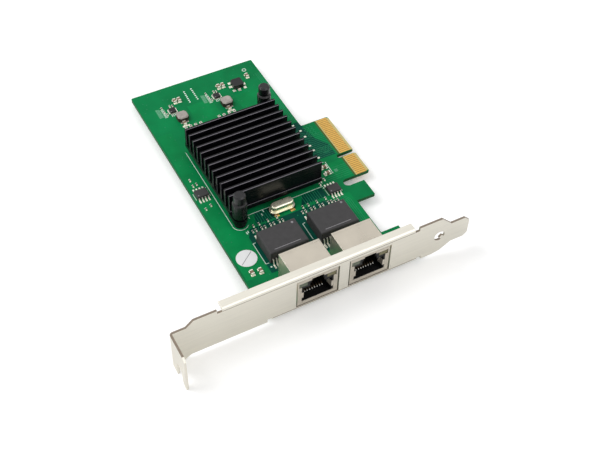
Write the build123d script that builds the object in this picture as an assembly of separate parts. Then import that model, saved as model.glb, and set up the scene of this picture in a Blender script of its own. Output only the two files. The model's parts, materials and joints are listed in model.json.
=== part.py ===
from build123d import *
from math import cos, radians, sin
import os

# A dual-port network interface card, in millimetres.
# Places are given on the card: x runs along the bracket from the outer face of its ledge,
# y runs inward from the outer face of the bracket's plate, z rises from the board's upper side.
# The written parts are moved so that the origin is at the edge connector: the middle of the
# key notch, on the leading edge of the tongue, halfway through the board.

# Printed board
BOARD_T = 1.57
BOARD_GAP = 0.74
BOARD_LENGTH = 125.2
LEFT_STRIP = 8.17
RIGHT_STRIP = 8.37
BOARD_CORNER = 0.6

# Edge connector
EDGE_FROM_TAIL = 14.94
KEY_Y = 58.15
KEY_W = 1.9
KEY_DEPTH = 8.0
TONGUE_DEPTH = 12.61
TONGUE_CHAMFER = 0.5
BEVEL_LENGTH = 1.2
BEVEL_DEPTH = 0.35
CONTACT_PITCH = 1.0
CONTACT_W = 0.7
CONTACT_LENGTH = 4.4
CONTACT_T = 0.05
CONTACTS_NEAR = 11
CONTACTS_FAR = 21
KEY_TO_CONTACT = 1.5
TONGUE_MARGIN = 0.3

# Foot and retention tab beside the tongue
FOOT_LENGTH = 14.4
FOOT_REACH = 4.98
TAB_W = 8.2
TAB_REACH = 4.65
TAB_GAP = 3.7
TAB_GAP_INSET = 0.2

# Folded bracket
SHEET_T = 0.86
BRACKET_LENGTH = 120.02
PLATE_W = 18.42
BEND_R = 0.4
LEDGE_DEPTH = 11.43
LEDGE_W = 17.62
LEDGE_DROP = 1.82
LEDGE_CHAMFER = 1.5
LEDGE_NECK_LOW = 4.3
LEDGE_NECK_HIGH = 5.9
NECK_SLOPE = 2.9
SCREW_SLOT_W = 4.42
SCREW_SLOT_DEPTH = 7.6
SCREW_SLOT_INSET = 6.35
SCREW_SLOT_FLARE = 1.4
TAIL_LENGTH = 8.1
TAIL_W = 10.4
TAIL_RISE = 3.47
TAIL_CHAMFER = 2.1
TAIL_SHOULDER = 4.4
TAIL_SLOPE_START = 7.0
TAIL_SLOPE_MID = 3.5
TAIL_SLOPE_RISE = 0.7
TAIL_SLOPE_END = 0.9
TAIL_CORNER = 1.6
TAIL_HOLE_D = 4.5
TAIL_HOLE_INSET = 12.8
TAIL_TONGUE_W = 1.6
TAIL_TONGUE_LENGTH = 1.5
TAIL_TONGUE_ANGLE = -45
FLANGE_START = 19.4
FLANGE_END_INSET = 24.0
FLANGE_DEPTH = 3.57
LIP_BEFORE_JACKS = 18.08
LIP_BEYOND_JACKS = 20.64
LIP_DEPTH = 3.2
RELIEF_W = 1.9
RELIEF_DEPTH = 1.5
LUG_R = 3.6
LUG_REACH = 8.0

# Bracket screws
SCREW_D = 2.9
SCREW_FIT = 0.15
SCREW_HEAD_D = 5.6
SCREW_HEAD_H = 1.7
SCREW_TIP = 0.6
SCREW_BEVEL = 0.7
SCREW_SIDES = 12
CROSS_L = 2.8
CROSS_W = 0.6
CROSS_DEPTH = 0.9

# Network jacks
JACK_FROM_EDGE = 27.5
JACK_PITCH = 21.2
JACK_W = 16.2
JACK_H = 12.8
JACK_DEPTH = 14.6
JACK_FRONT = 0.2
JACK_SKIRT = 0.5
JACK_CLEARANCE = 0.5
SHELL_T = 0.3
SHELL_FIT = 0.05
SILL_H = 1.2
CAVITY_W = 11.8
CAVITY_H = 6.8
BACK_WALL = 2.6
KEYWAY_W = 6.0
KEYWAY_H = 1.8
KEYWAY_SLOT_W = 4.9
KEYWAY_SLOT_H = 2.3
MOUTH_W = 12.8
FRAME_W = 0.65
FRAME_TOP = 1.4
SPRING_H = 2.8
SPRING_T = 0.2
SPRING_BULGE = 0.7
SPRING_BULGE_Y = 2.4
SPRING_END_Y = 4.8
PEG_D = 3.1
PEG_SIDES = 8
PEG_SPREAD = 5.72
PEG_FROM_BACK = 7.6
PEG_TIP = 0.8
SOLDER_TAB_W = 1.4
SOLDER_TAB_FROM_BACK = 3.0

# Contact wires and their insert
WIRE_COUNT = 8
WIRE_PITCH = 1.016
WIRE_T = 0.34
WIRE_GAP = 0.1
WIRE_BEND_Y = 3.2
WIRE_RISE = 1.1
WIRE_LIFT = 2.7
WIRE_END_GAP = 0.8
WIRE_BEND = 0.5
TAIL_FROM_BACK = 6.2
TAIL_ROW_STEP = 2.54
TAIL_BELOW = 1.2
TAIL_HOLE_GAP = 0.3
TAIL_HOLE_SIDES = 8
INSERT_W = 9.0
INSERT_H = 5.6
INSERT_FIT = 0.1
INSERT_FRONT = 1.8
COMB_DEPTH = 2.4

# Link lights
LIGHT_W = 3.5
LIGHT_H = 2.35
LIGHT_LENGTH = 8.0
LIGHT_FIT = 0.05

# Heat sink
FIN_COUNT = 12
FIN_PITCH = 3.59
FIN_T = 0.95
FIN_H = 8.0
SINK_LENGTH = 39.5
SINK_BASE_T = 2.0
SINK_MARGIN = 0.6
SINK_FROM_KEY = 9.97
EAR_R = 2.9
EAR_INSET = 2.35
EAR_OUT = 3.58
EAR_BOSS_D = 4.7
EAR_BOSS_GAP = 0.2

# Controller chip
CHIP_SIDE = 25.0
CHIP_H = 1.9
CHIP_CHAMFER = 0.4
PAD_SIDE = 23.0
PAD_T = 0.3

# Push pins
PIN_D = 2.9
PIN_FIT = 0.15
PIN_HEIGHT = 12.4
PIN_CAP_D = 4.7
PIN_CAP_H = 3.6
PIN_CAP_BEVEL = 0.6
PIN_NECK_D = 3.9
PIN_NECK_H = 0.35
SKIRT_D = 5.6
SKIRT_WALL = 0.5
SKIRT_H = 8.3
SKIRT_TOP = 0.9
BARB_D = 3.9
BARB_H = 2.3
BARB_TIP_D = 2.2
BARB_SLIT = 0.7
SPRING_WIRE = 0.4
SPRING_GAP = 0.05
SPRING_TURNS = 3
SPRING_SIDES = 8
SPRING_WIRE_SIDES = 4

# Magnetics modules
MAGNETICS_W = 15.8
MAGNETICS_DEPTH = 11.8
MAGNETICS_H = 5.4
MAGNETICS_GAP = 6.5
MAGNETICS_BEVEL = 0.3
MAGNETICS_LEAD_COUNT = 12
LEAD_PITCH = 1.27
LEAD_W = 0.45
LEAD_T = 0.25
LEAD_REACH = 1.8
LEAD_FOOT = 0.9
LEAD_EXIT = 2.2
STANDOFF = 0.3

# Eight-lead chips
SMALL_CHIP_L = 4.9
SMALL_CHIP_W = 3.9
SMALL_CHIP_H = 1.45
SMALL_CHIP_STANDOFF = 0.15
SMALL_LEAD_COUNT = 4
SMALL_LEAD_REACH = 1.1
SMALL_LEAD_FOOT = 0.55
SMALL_LEAD_EXIT = 0.75
MEMORY_INSET = 3.7
MEMORY_FROM_SINK = 4.3
SUPERVISOR_INSET = 5.5
SUPERVISOR_FROM_KEY = 15.15

# Crystal
CRYSTAL_L = 9.4
CRYSTAL_W = 3.4
CRYSTAL_H = 3.5
CRYSTAL_RIM = 0.6
CRYSTAL_RIM_T = 0.4
CRYSTAL_BEVEL = 0.35
CRYSTAL_BASE_T = 0.5
CRYSTAL_GAP = 1.3
CRYSTAL_SHIFT = 0.3

# Power stage
INDUCTOR_SIDE = 4.6
INDUCTOR_H = 2.4
INDUCTOR_CHAMFER = 0.9
INDUCTOR_LEFT = 13.45
INDUCTOR_RIGHT = 6.75
INDUCTOR_INSET = 20.5
REGULATOR_SIDE = 4.6
REGULATOR_H = 1.8
REGULATOR_CHAMFER = 0.5
REGULATOR_INSET_X = 12.6
REGULATOR_INSET_Y = 12.4
REGULATOR_PAD = 1.2
REGULATOR_PAD_T = 0.3
CONVERTER_SIDE = 2.6
CONVERTER_H = 0.8
CONVERTER_SHIFT_X = -1.9
CONVERTER_SHIFT_Y = 5.9

# Larger chip capacitors and the smallest chip parts
CAPACITOR_L = 2.0
CAPACITOR_W = 1.25
CAPACITOR_H = 1.1
CAPACITOR_END = 0.4
SMALL_PART_L = 1.0
SMALL_PART_W = 0.5
SMALL_PART_H = 0.5
SMALL_PART_END = 0.22
END_CAP_PROUD = 0.03

# Chip parts' offsets in x and y from the part that each group serves
INDUCTOR_CAPACITORS = [(-0.5, -3.5), (1.1, 10.6), (3.1, 10.6)]
REGULATOR_CAPACITORS = [(6.2, 3.4)]
SINK_CAPACITORS = [(5.37, 7.8), (5.07, 4.4)]
STICKER_CAPACITORS = [(-1.3, -7.2), (1.9, -7.7)]
CONVERTER_PARTS = [(-5.5, 9.0), (-5.3, 6.5), (-4.7, 4.6), (-2.0, 8.8), (-0.9, 8.5)]
LEFT_ROW_PARTS = [(-0.9, -5.9), (1.2, -5.9), (3.4, -5.9), (5.7, -5.9)]
RIGHT_ROW_PARTS = [(-6.1, -5.9), (-3.9, -5.9), (-1.4, -5.9), (0.9, -5.9)]
MAGNETICS_NEAR_ROW = [-6.9, -5.5, -3.1, -1.7, 0.6, 2.0, 4.4, 5.8]
MAGNETICS_NEAR_ROW_Y = -9.2
MAGNETICS_FAR_ROW = [-5.5, -3.1, 0.6, 4.4]
MAGNETICS_FAR_ROW_Y = -6.8
MEMORY_PARTS = [(-1.0, 8.8), (-1.1, 5.6), (0.5, 5.9), (-1.6, -7.6), (0.9, -6.6)]
SUPERVISOR_PARTS = [(-3.3, 4.8), (-2.2, 6.4), (-0.6, 6.4), (-2.4, -5.6), (-1.0, -5.4)]

# Round sticker
STICKER_D = 8.0
STICKER_T = 0.08
STICKER_SIDES = 36
STICKER_INSET = 5.3
STICKER_FROM_BRACKET = 26.0

# Places that follow from the sizes above
BOARD_NEAR = SHEET_T + BOARD_GAP
BOARD_FAR = BOARD_NEAR + BOARD_LENGTH
EDGE_X = BRACKET_LENGTH - EDGE_FROM_TAIL
BOARD_RIGHT = EDGE_X - TONGUE_DEPTH
SINK_X = BOARD_RIGHT - RIGHT_STRIP - SINK_LENGTH / 2
BOARD_LEFT = SINK_X - SINK_LENGTH / 2 - LEFT_STRIP
UNDERSIDE = -BOARD_T
CONTACT_EDGE = CONTACT_W / 2 + TONGUE_MARGIN
TONGUE_NEAR = KEY_Y - KEY_TO_CONTACT - (CONTACTS_NEAR - 1) * CONTACT_PITCH - CONTACT_EDGE
TONGUE_FAR = KEY_Y + KEY_TO_CONTACT + (CONTACTS_FAR - 1) * CONTACT_PITCH + CONTACT_EDGE
PLATE_LOW = UNDERSIDE - SHEET_T
PLATE_HIGH = PLATE_LOW + PLATE_W
LEDGE_LOW = PLATE_LOW - LEDGE_DROP
LEDGE_HIGH = LEDGE_LOW + LEDGE_W
BEND_OUTER = BEND_R + SHEET_T
FLANGE_END = BRACKET_LENGTH - FLANGE_END_INSET
JACK_PLACES = [EDGE_X - JACK_FROM_EDGE - JACK_PITCH, EDGE_X - JACK_FROM_EDGE]
LIP_START = JACK_PLACES[0] - LIP_BEFORE_JACKS
LIP_END = JACK_PLACES[1] + LIP_BEYOND_JACKS
LUG_PLACES = [(LIP_START + LUG_R, LUG_REACH), (LIP_END - LUG_R, LUG_REACH)]
JACK_BACK = JACK_FRONT + JACK_DEPTH
CAVITY_TOP = SILL_H + CAVITY_H
CAVITY_DEPTH = JACK_DEPTH - BACK_WALL
PEG_Y = JACK_DEPTH - PEG_FROM_BACK
SOLDER_TAB_Y = JACK_DEPTH - SOLDER_TAB_FROM_BACK
KEYWAY_TOP = CAVITY_TOP + KEYWAY_H + KEYWAY_SLOT_H
HOUSING_TOP = JACK_H - SHELL_T - SHELL_FIT
LIGHT_TOP = JACK_H - FRAME_TOP
LIGHT_LOW = LIGHT_TOP - LIGHT_H
LIGHT_X = JACK_W / 2 - FRAME_W - LIGHT_W / 2
WIRE_FLOOR = SILL_H + WIRE_T / 2
CONTACT_XS = [(i - (WIRE_COUNT - 1) / 2) * WIRE_PITCH for i in range(WIRE_COUNT)]
TAIL_ROW_Y = JACK_DEPTH - TAIL_FROM_BACK
CONTACT_TAIL_YS = [TAIL_ROW_Y + TAIL_ROW_STEP * (i % 2) for i in range(WIRE_COUNT)]
WIRE_END_Y = CAVITY_DEPTH - WIRE_END_GAP
SINK_Y = KEY_Y + SINK_FROM_KEY
SINK_W = FIN_T + (FIN_COUNT - 1) * FIN_PITCH + 2 * SINK_MARGIN
SINK_LOW = CHIP_H + PAD_T
SINK_BASE_TOP = SINK_LOW + SINK_BASE_T
SINK_FRONT = SINK_Y - SINK_W / 2
EAR_X = SINK_LENGTH / 2 - EAR_INSET
EAR_Y = SINK_W / 2 + EAR_OUT
PIN_PLACES = [(SINK_X - EAR_X, SINK_Y - EAR_Y), (SINK_X + EAR_X, SINK_Y + EAR_Y)]
SKIRT_CEILING = SINK_BASE_TOP + SKIRT_H - SKIRT_WALL
MAGNETICS_Y = JACK_BACK + MAGNETICS_GAP + MAGNETICS_DEPTH / 2
MEMORY_PLACE = (BOARD_LEFT + MEMORY_INSET, SINK_Y - MEMORY_FROM_SINK)
SUPERVISOR_PLACE = (BOARD_RIGHT - SUPERVISOR_INSET, KEY_Y - SUPERVISOR_FROM_KEY)
CRYSTAL_PLACE = (SINK_X + CRYSTAL_SHIFT, SINK_FRONT - CRYSTAL_GAP - CRYSTAL_RIM - CRYSTAL_W / 2)
INDUCTOR_Y = BOARD_FAR - INDUCTOR_INSET
INDUCTOR_PLACES = [(SINK_X - INDUCTOR_LEFT, INDUCTOR_Y), (SINK_X + INDUCTOR_RIGHT, INDUCTOR_Y)]
REGULATOR_PLACE = (BOARD_RIGHT - REGULATOR_INSET_X, BOARD_FAR - REGULATOR_INSET_Y)
STICKER_PLACE = (BOARD_LEFT + STICKER_INSET, BOARD_NEAR + STICKER_FROM_BRACKET)

# How near a corner lies to the line that picks it out
CLOSE = 0.01

CARD_TO_ORIGIN = Pos(-EDGE_X, -KEY_Y, BOARD_T / 2)


def block(x0, x1, y0, y1, z0, z1):
    """Return the block between two corners."""
    return Pos((x0 + x1) / 2, (y0 + y1) / 2, (z0 + z1) / 2) * Box(x1 - x0, y1 - y0, z1 - z0)


def centred_block(width, depth, z0, z1):
    """Return a block centred on the z axis."""
    return block(-width / 2, width / 2, -depth / 2, depth / 2, z0, z1)


def rod(diameter, z0, z1):
    """Return a round rod on the z axis."""
    return Pos(0, 0, (z0 + z1) / 2) * Cylinder(diameter / 2, z1 - z0)


def post(diameter, sides, z0, z1):
    """Return an upright post with flat sides, as wide across its corners as the diameter."""
    return Pos(0, 0, z0) * extrude(RegularPolygon(diameter / 2, sides), z1 - z0)


def rect(x0, x1, y0, y1):
    """Return the flat rectangle between two corners."""
    return Pos((x0 + x1) / 2, (y0 + y1) / 2) * Rectangle(x1 - x0, y1 - y0)


def lying_along_x(sketch, x0, x1):
    """Return a prism whose section is drawn in y and z."""
    return Pos(x0, 0, 0) * extrude(Plane.YZ * sketch, x1 - x0)


def lying_along_y(sketch, y0, y1):
    """Return a prism whose section is drawn in x and z."""
    return Pos(0, y1, 0) * extrude(Plane.XZ * sketch, y1 - y0)


def save(name, *pieces):
    """Write one sub-part in the frame of the edge connector."""
    solids = [CARD_TO_ORIGIN * solid for piece in pieces for solid in piece.solids()]
    shape = solids[0] if len(solids) == 1 else Compound(solids)
    export_step(shape, f"parts/{name}.step")


# Printed board and its edge contacts


def board_outline():
    """Return the board seen from above, with its tongue, tab, foot and key notch."""
    tab_near = TONGUE_NEAR - TAB_GAP - TAB_W
    foot_right = EDGE_X - FOOT_REACH
    tab_right = EDGE_X - TAB_REACH
    outline = rect(BOARD_LEFT, BOARD_RIGHT, BOARD_NEAR, BOARD_FAR)
    outline += rect(BOARD_LEFT, foot_right, BOARD_NEAR, BOARD_NEAR + FOOT_LENGTH)
    outline += rect(BOARD_LEFT, tab_right, tab_near, TONGUE_NEAR)
    outline += rect(BOARD_LEFT, EDGE_X, TONGUE_NEAR, TONGUE_FAR)

    gap_r = TAB_GAP / 2
    gap_end = BOARD_RIGHT - TAB_GAP_INSET + gap_r
    gap_y = TONGUE_NEAR - gap_r
    outline -= rect(gap_end, EDGE_X, gap_y - gap_r, gap_y + gap_r)
    outline -= Pos(gap_end, gap_y) * Circle(gap_r)

    key_end = EDGE_X - KEY_DEPTH + KEY_W / 2
    outline -= rect(key_end, EDGE_X + 1, KEY_Y - KEY_W / 2, KEY_Y + KEY_W / 2)
    outline -= Pos(key_end, KEY_Y) * Circle(KEY_W / 2)

    leading = [v for v in outline.vertices() if abs(v.X - EDGE_X) < CLOSE]
    outline = chamfer(leading, TONGUE_CHAMFER)
    far = [v for v in outline.vertices() if abs(v.Y - BOARD_FAR) < CLOSE]
    return fillet(far, BOARD_CORNER)


def fastener_holes():
    """Return the drills of the holes for the bracket screws and the push pins."""
    low = UNDERSIDE - 1
    drill = post(SCREW_D + 2 * SCREW_FIT, SCREW_SIDES, low, 1)
    drills = [Pos(x, y, 0) * drill for x, y in LUG_PLACES]
    return drills + [Pos(x, y, 0) * rod(PIN_D + 2 * PIN_FIT, low, 1) for x, y in PIN_PLACES]


def jack_holes():
    """Return the cutters for one jack's pegs, solder tabs and contact tails, about its middle."""
    low = UNDERSIDE - 1
    cutters = []
    for side in (-1, 1):
        peg = Pos(side * PEG_SPREAD, PEG_Y) * post(PEG_D + 2 * PIN_FIT, PEG_SIDES, low, 1)
        tab_x = side * (JACK_W / 2 - SHELL_T / 2)
        slot_w = SHELL_T + 2 * TAIL_HOLE_GAP
        slot = centred_block(slot_w, SOLDER_TAB_W + 2 * TAIL_HOLE_GAP, low, 1)
        cutters += [peg, Pos(tab_x, SOLDER_TAB_Y, 0) * slot]
    hole = post(WIRE_T + 2 * TAIL_HOLE_GAP, TAIL_HOLE_SIDES, low, 1)
    return cutters + [Pos(x, y, 0) * hole for x, y in zip(CONTACT_XS, CONTACT_TAIL_YS)]


def printed_board():
    """Return the board with its bevelled tongue and its drilled holes."""
    board = Pos(0, 0, UNDERSIDE) * extrude(board_outline(), BOARD_T)
    edge = [(EDGE_X - BEVEL_LENGTH, 0), (EDGE_X, 0), (EDGE_X, -BEVEL_DEPTH)]
    wedge = lying_along_y(make_face(Polyline(*edge, close=True)), TONGUE_NEAR, TONGUE_FAR)
    board -= wedge
    board -= mirror(wedge, Plane.XY.offset(UNDERSIDE / 2))
    board -= fastener_holes()
    for x in JACK_PLACES:
        board -= [Pos(x, JACK_FRONT, 0) * cutter for cutter in jack_holes()]
    return board


def edge_contacts(z0):
    """Return one side's row of contact fingers, with the gap of the key notch."""
    near = [KEY_Y - KEY_TO_CONTACT - i * CONTACT_PITCH for i in range(CONTACTS_NEAR)]
    far = [KEY_Y + KEY_TO_CONTACT + i * CONTACT_PITCH for i in range(CONTACTS_FAR)]
    x1 = EDGE_X - BEVEL_LENGTH
    x0 = x1 - CONTACT_LENGTH
    return [
        block(x0, x1, y - CONTACT_W / 2, y + CONTACT_W / 2, z0, z0 + CONTACT_T)
        for y in near + far
    ]


# Folded bracket and its screws


def plate_outline():
    """Return the bracket's flat plate in x and z, cut back where the folds begin."""
    tail_start = BRACKET_LENGTH - TAIL_LENGTH
    tail_low = PLATE_LOW + TAIL_RISE
    tail_high = tail_low + TAIL_W
    points = [
        (BEND_OUTER, LEDGE_LOW),
        (LEDGE_NECK_LOW, LEDGE_LOW),
        (LEDGE_NECK_LOW + NECK_SLOPE, PLATE_LOW),
        (tail_start - TAIL_SLOPE_START, PLATE_LOW),
        (tail_start - TAIL_SLOPE_MID, PLATE_LOW + TAIL_SLOPE_RISE),
        (tail_start + TAIL_SLOPE_END, tail_low),
        (BRACKET_LENGTH - TAIL_CORNER, tail_low),
        (BRACKET_LENGTH, tail_low + TAIL_CORNER),
        (BRACKET_LENGTH, tail_high - TAIL_CHAMFER),
        (BRACKET_LENGTH - TAIL_CHAMFER, tail_high),
        (tail_start, tail_high),
        (tail_start - TAIL_SHOULDER, PLATE_HIGH),
        (LEDGE_NECK_HIGH + NECK_SLOPE, PLATE_HIGH),
        (LEDGE_NECK_HIGH, LEDGE_HIGH),
        (BEND_OUTER, LEDGE_HIGH),
    ]
    outline = make_face(Polyline(*points, close=True))
    outline -= rect(FLANGE_START, FLANGE_END, PLATE_HIGH - BEND_OUTER, PLATE_HIGH)
    outline -= rect(LIP_START, LIP_END, PLATE_LOW, PLATE_LOW + BEND_OUTER)
    return outline


def relief_cuts():
    """Return the notches that free the ends of the two folds, in x and z."""
    high = PLATE_HIGH - RELIEF_DEPTH
    low = PLATE_LOW + RELIEF_DEPTH
    cuts = rect(FLANGE_START - RELIEF_W, FLANGE_START, high, PLATE_HIGH)
    cuts += rect(FLANGE_END, FLANGE_END + RELIEF_W, high, PLATE_HIGH)
    cuts += rect(LIP_START - RELIEF_W, LIP_START, PLATE_LOW, low)
    cuts += rect(LIP_END, LIP_END + RELIEF_W, PLATE_LOW, low)
    return cuts


def jack_windows():
    """Return the openings that the jacks look out of, in x and z."""
    windows = Sketch()
    low = -JACK_SKIRT - JACK_CLEARANCE
    for x in JACK_PLACES:
        half = JACK_W / 2 + JACK_CLEARANCE
        windows += rect(x - half, x + half, low, JACK_H + JACK_CLEARANCE)
    return windows


def tail_hole():
    """Return the pierced hole near the tail, with the small tongue left standing in it."""
    centre = Pos(BRACKET_LENGTH - TAIL_HOLE_INSET, (PLATE_LOW + PLATE_HIGH) / 2)
    hole = Circle(TAIL_HOLE_D / 2)
    rim = TAIL_HOLE_D / 2
    half = TAIL_TONGUE_W / 2
    tongue = Rot(0, 0, TAIL_TONGUE_ANGLE) * rect(rim - TAIL_TONGUE_LENGTH, rim + 1, -half, half)
    return centre * (hole - tongue)


def ledge():
    """Return the ledge with its bend, bent outward from the plate and slotted for a screw."""
    mid = SHEET_T / 2
    neck = min(LEDGE_NECK_LOW, LEDGE_NECK_HIGH)
    bend = FilletPolyline((neck, mid), (mid, mid), (mid, -LEDGE_DEPTH), radius=BEND_R + mid)
    sheet = Pos(0, 0, LEDGE_LOW) * extrude(trace(bend, SHEET_T), LEDGE_W)

    slot_r = SCREW_SLOT_W / 2
    slot_y = -SCREW_SLOT_INSET
    slot_z = LEDGE_LOW + SCREW_SLOT_DEPTH - slot_r
    slot = rect(slot_y - slot_r, slot_y + slot_r, LEDGE_LOW - 1, slot_z)
    slot += Pos(slot_y, slot_z) * Circle(slot_r)
    flare = [
        (slot_y, LEDGE_LOW - SCREW_SLOT_FLARE),
        (slot_y, LEDGE_LOW + 2 * SCREW_SLOT_FLARE + slot_r),
        (slot_y - slot_r - 2 * SCREW_SLOT_FLARE, LEDGE_LOW - SCREW_SLOT_FLARE),
    ]
    slot += make_face(Polyline(*flare, close=True))
    corner = [
        (-LEDGE_DEPTH, LEDGE_HIGH),
        (-LEDGE_DEPTH + LEDGE_CHAMFER, LEDGE_HIGH),
        (-LEDGE_DEPTH, LEDGE_HIGH - LEDGE_CHAMFER),
    ]
    slot += make_face(Polyline(*corner, close=True))
    return sheet - lying_along_x(slot, -1, SHEET_T + 1)


def fold(edge_z, inward, depth):
    """Return the section of a fold at the plate's edge, in y and z."""
    mid = SHEET_T / 2
    start = edge_z + inward * (BEND_OUTER + mid)
    flat = edge_z + inward * mid
    path = FilletPolyline((mid, start), (mid, flat), (depth, flat), radius=BEND_R + mid)
    return trace(path, SHEET_T)


def lug(x, y):
    """Return one tapped lug of the lower lip, under the board."""
    shape = Pos(x, y) * Circle(LUG_R) + rect(x - LUG_R, x + LUG_R, BEND_OUTER, y)
    shape -= Pos(x, y) * RegularPolygon(SCREW_D / 2 + SCREW_FIT / 2, SCREW_SIDES)
    return Pos(0, 0, PLATE_LOW) * extrude(shape, SHEET_T)


def bracket():
    """Return the bracket, one sheet with a ledge, a top flange and a lower lip folded on it."""
    flat = plate_outline() - relief_cuts() - jack_windows() - tail_hole()
    sheet = lying_along_y(flat, 0, SHEET_T)
    sheet += ledge()
    sheet += lying_along_x(fold(PLATE_HIGH, -1, FLANGE_DEPTH), FLANGE_START, FLANGE_END)
    sheet += lying_along_x(fold(PLATE_LOW, 1, LIP_DEPTH), LIP_START, LIP_END)
    for x, y in LUG_PLACES:
        sheet += lug(x, y)
    return sheet


def bracket_screw():
    """Return a pan-head screw that clamps the board onto a lug."""
    shank_end = PLATE_LOW - SCREW_TIP
    screw = post(SCREW_D, SCREW_SIDES, shank_end, 0) + rod(SCREW_HEAD_D, 0, SCREW_HEAD_H)
    screw = chamfer(screw.edges().group_by(Axis.Z)[-1], SCREW_BEVEL)
    for length, width in ((CROSS_L, CROSS_W), (CROSS_W, CROSS_L)):
        screw -= centred_block(length, width, SCREW_HEAD_H - CROSS_DEPTH, SCREW_HEAD_H + 1)
    return screw


# Network jacks, each drawn about its own middle with its front at y = 0


def port_profile():
    """Return the plug's way in, as seen from the front, in x and z."""
    step = CAVITY_TOP + KEYWAY_H
    profile = rect(-CAVITY_W / 2, CAVITY_W / 2, SILL_H, CAVITY_TOP)
    profile += rect(-KEYWAY_W / 2, KEYWAY_W / 2, CAVITY_TOP, step)
    half = KEYWAY_SLOT_W / 2
    return profile + rect(-half, half, step, KEYWAY_TOP)


def shell_spring(side):
    """Return one leaf that is folded from the front into the cavity and grips the plug."""
    wall = side * (CAVITY_W / 2 - SPRING_T)
    path = Polyline(
        (side * (MOUTH_W / 2 + FRAME_W / 2), SHELL_T / 2),
        (wall, SHELL_T / 2),
        (side * (CAVITY_W / 2 - SPRING_BULGE), SPRING_BULGE_Y),
        (wall, SPRING_END_Y),
    )
    z0 = SILL_H + (CAVITY_H - SPRING_H) / 2
    return Pos(0, 0, z0) * extrude(trace(path, SPRING_T), SPRING_H)


def shell_mouth():
    """Return the opening in the shield's front, wide at the lights and notched for the latch."""
    half = JACK_W / 2 - FRAME_W
    mouth = rect(-MOUTH_W / 2, MOUTH_W / 2, SILL_H, LIGHT_LOW)
    mouth += rect(-half, half, LIGHT_LOW, LIGHT_TOP)
    latch = KEYWAY_SLOT_W / 2
    return mouth + rect(-latch, latch, LIGHT_TOP, KEYWAY_TOP)


def jack_shell():
    """Return the jack's sheet-metal shield, open underneath, with its solder tabs."""
    half = JACK_W / 2
    inner = half - SHELL_T
    shell = block(-half, half, 0, JACK_DEPTH, 0, JACK_H)
    shell -= block(-inner, inner, SHELL_T, JACK_DEPTH - SHELL_T, -1, JACK_H - SHELL_T)
    shell += block(-half, half, 0, SHELL_T, -JACK_SKIRT, 0)
    shell -= lying_along_y(shell_mouth(), -1, SHELL_T)
    for side in (-1, 1):
        shell += shell_spring(side)
        edges = sorted((side * inner, side * half))
        y0 = SOLDER_TAB_Y - SOLDER_TAB_W / 2
        shell += block(*edges, y0, y0 + SOLDER_TAB_W, UNDERSIDE - PEG_TIP, SHELL_T)
    return shell


def jack_housing():
    """Return the moulded body, with the plug cavity, the keyway and its two locating pegs."""
    half = JACK_W / 2 - SHELL_T - SHELL_FIT
    front = SHELL_T + SHELL_FIT
    back = JACK_DEPTH - SHELL_T - SHELL_FIT
    housing = block(-half, half, front, back, 0, HOUSING_TOP)
    housing -= lying_along_y(port_profile(), 0, CAVITY_DEPTH)

    insert_half = INSERT_W / 2 + INSERT_FIT
    insert_top = INSERT_H + INSERT_FIT
    housing -= block(-insert_half, insert_half, INSERT_FRONT, back + 1, -1, SILL_H)
    housing -= block(-insert_half, insert_half, CAVITY_DEPTH, back + 1, -1, insert_top)
    for side in (-1, 1):
        x0 = side * LIGHT_X - LIGHT_W / 2 - LIGHT_FIT
        x1 = side * LIGHT_X + LIGHT_W / 2 + LIGHT_FIT
        pocket_back = front + LIGHT_LENGTH
        housing -= block(x0, x1, 0, pocket_back, LIGHT_LOW, LIGHT_TOP + LIGHT_FIT)
        housing += Pos(side * PEG_SPREAD, PEG_Y) * post(PEG_D, PEG_SIDES, UNDERSIDE - PEG_TIP, 0)
    return housing


def contact_insert():
    """Return the moulded insert that carries the contact wires, with its comb."""
    back = JACK_DEPTH - SHELL_T - SHELL_FIT
    half = INSERT_W / 2
    front = INSERT_FRONT + INSERT_FIT
    insert = block(-half, half, front, back, 0, SILL_H)
    insert += block(-half, half, CAVITY_DEPTH + INSERT_FIT, back, 0, INSERT_H)
    slot_w = WIRE_T + 2 * WIRE_GAP
    rib_w = WIRE_PITCH - slot_w
    for x in CONTACT_XS[:-1]:
        rib_x = x + WIRE_PITCH / 2
        y1 = CAVITY_DEPTH + INSERT_FIT
        y0 = y1 - COMB_DEPTH
        insert += block(rib_x - rib_w / 2, rib_x + rib_w / 2, y0, y1, SILL_H, INSERT_H)
    for x, y in zip(CONTACT_XS, CONTACT_TAIL_YS):
        y0 = y - WIRE_T / 2 - WIRE_BEND
        y1 = y + WIRE_T / 2 + WIRE_GAP
        insert -= block(x - slot_w / 2, x + slot_w / 2, y0, y1, -1, SILL_H)
    return insert


def contact_wire(x, tail_y):
    """Return one contact wire, from its tail under the board to its free end in the comb."""
    nose_top = WIRE_FLOOR + WIRE_RISE
    path = Polyline(
        (tail_y, UNDERSIDE - TAIL_BELOW),
        (tail_y, WIRE_FLOOR - WIRE_BEND),
        (tail_y - WIRE_BEND, WIRE_FLOOR),
        (WIRE_BEND_Y + WIRE_BEND, WIRE_FLOOR),
        (WIRE_BEND_Y, WIRE_FLOOR + WIRE_BEND),
        (WIRE_BEND_Y + WIRE_BEND, nose_top),
        (WIRE_END_Y, nose_top + WIRE_LIFT),
    )
    return lying_along_x(trace(path, WIRE_T), x - WIRE_T / 2, x + WIRE_T / 2)


def contact_wires():
    """Return a jack's eight contact wires."""
    return [contact_wire(x, y) for x, y in zip(CONTACT_XS, CONTACT_TAIL_YS)]


def link_light(side):
    """Return the clear light in one upper corner of a jack."""
    y0 = SHELL_T + SHELL_FIT
    lens = block(-LIGHT_W / 2, LIGHT_W / 2, y0, y0 + LIGHT_LENGTH, LIGHT_LOW, LIGHT_TOP)
    return Pos(side * LIGHT_X, 0, 0) * lens


# Heat sink, controller chip and push pins


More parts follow.
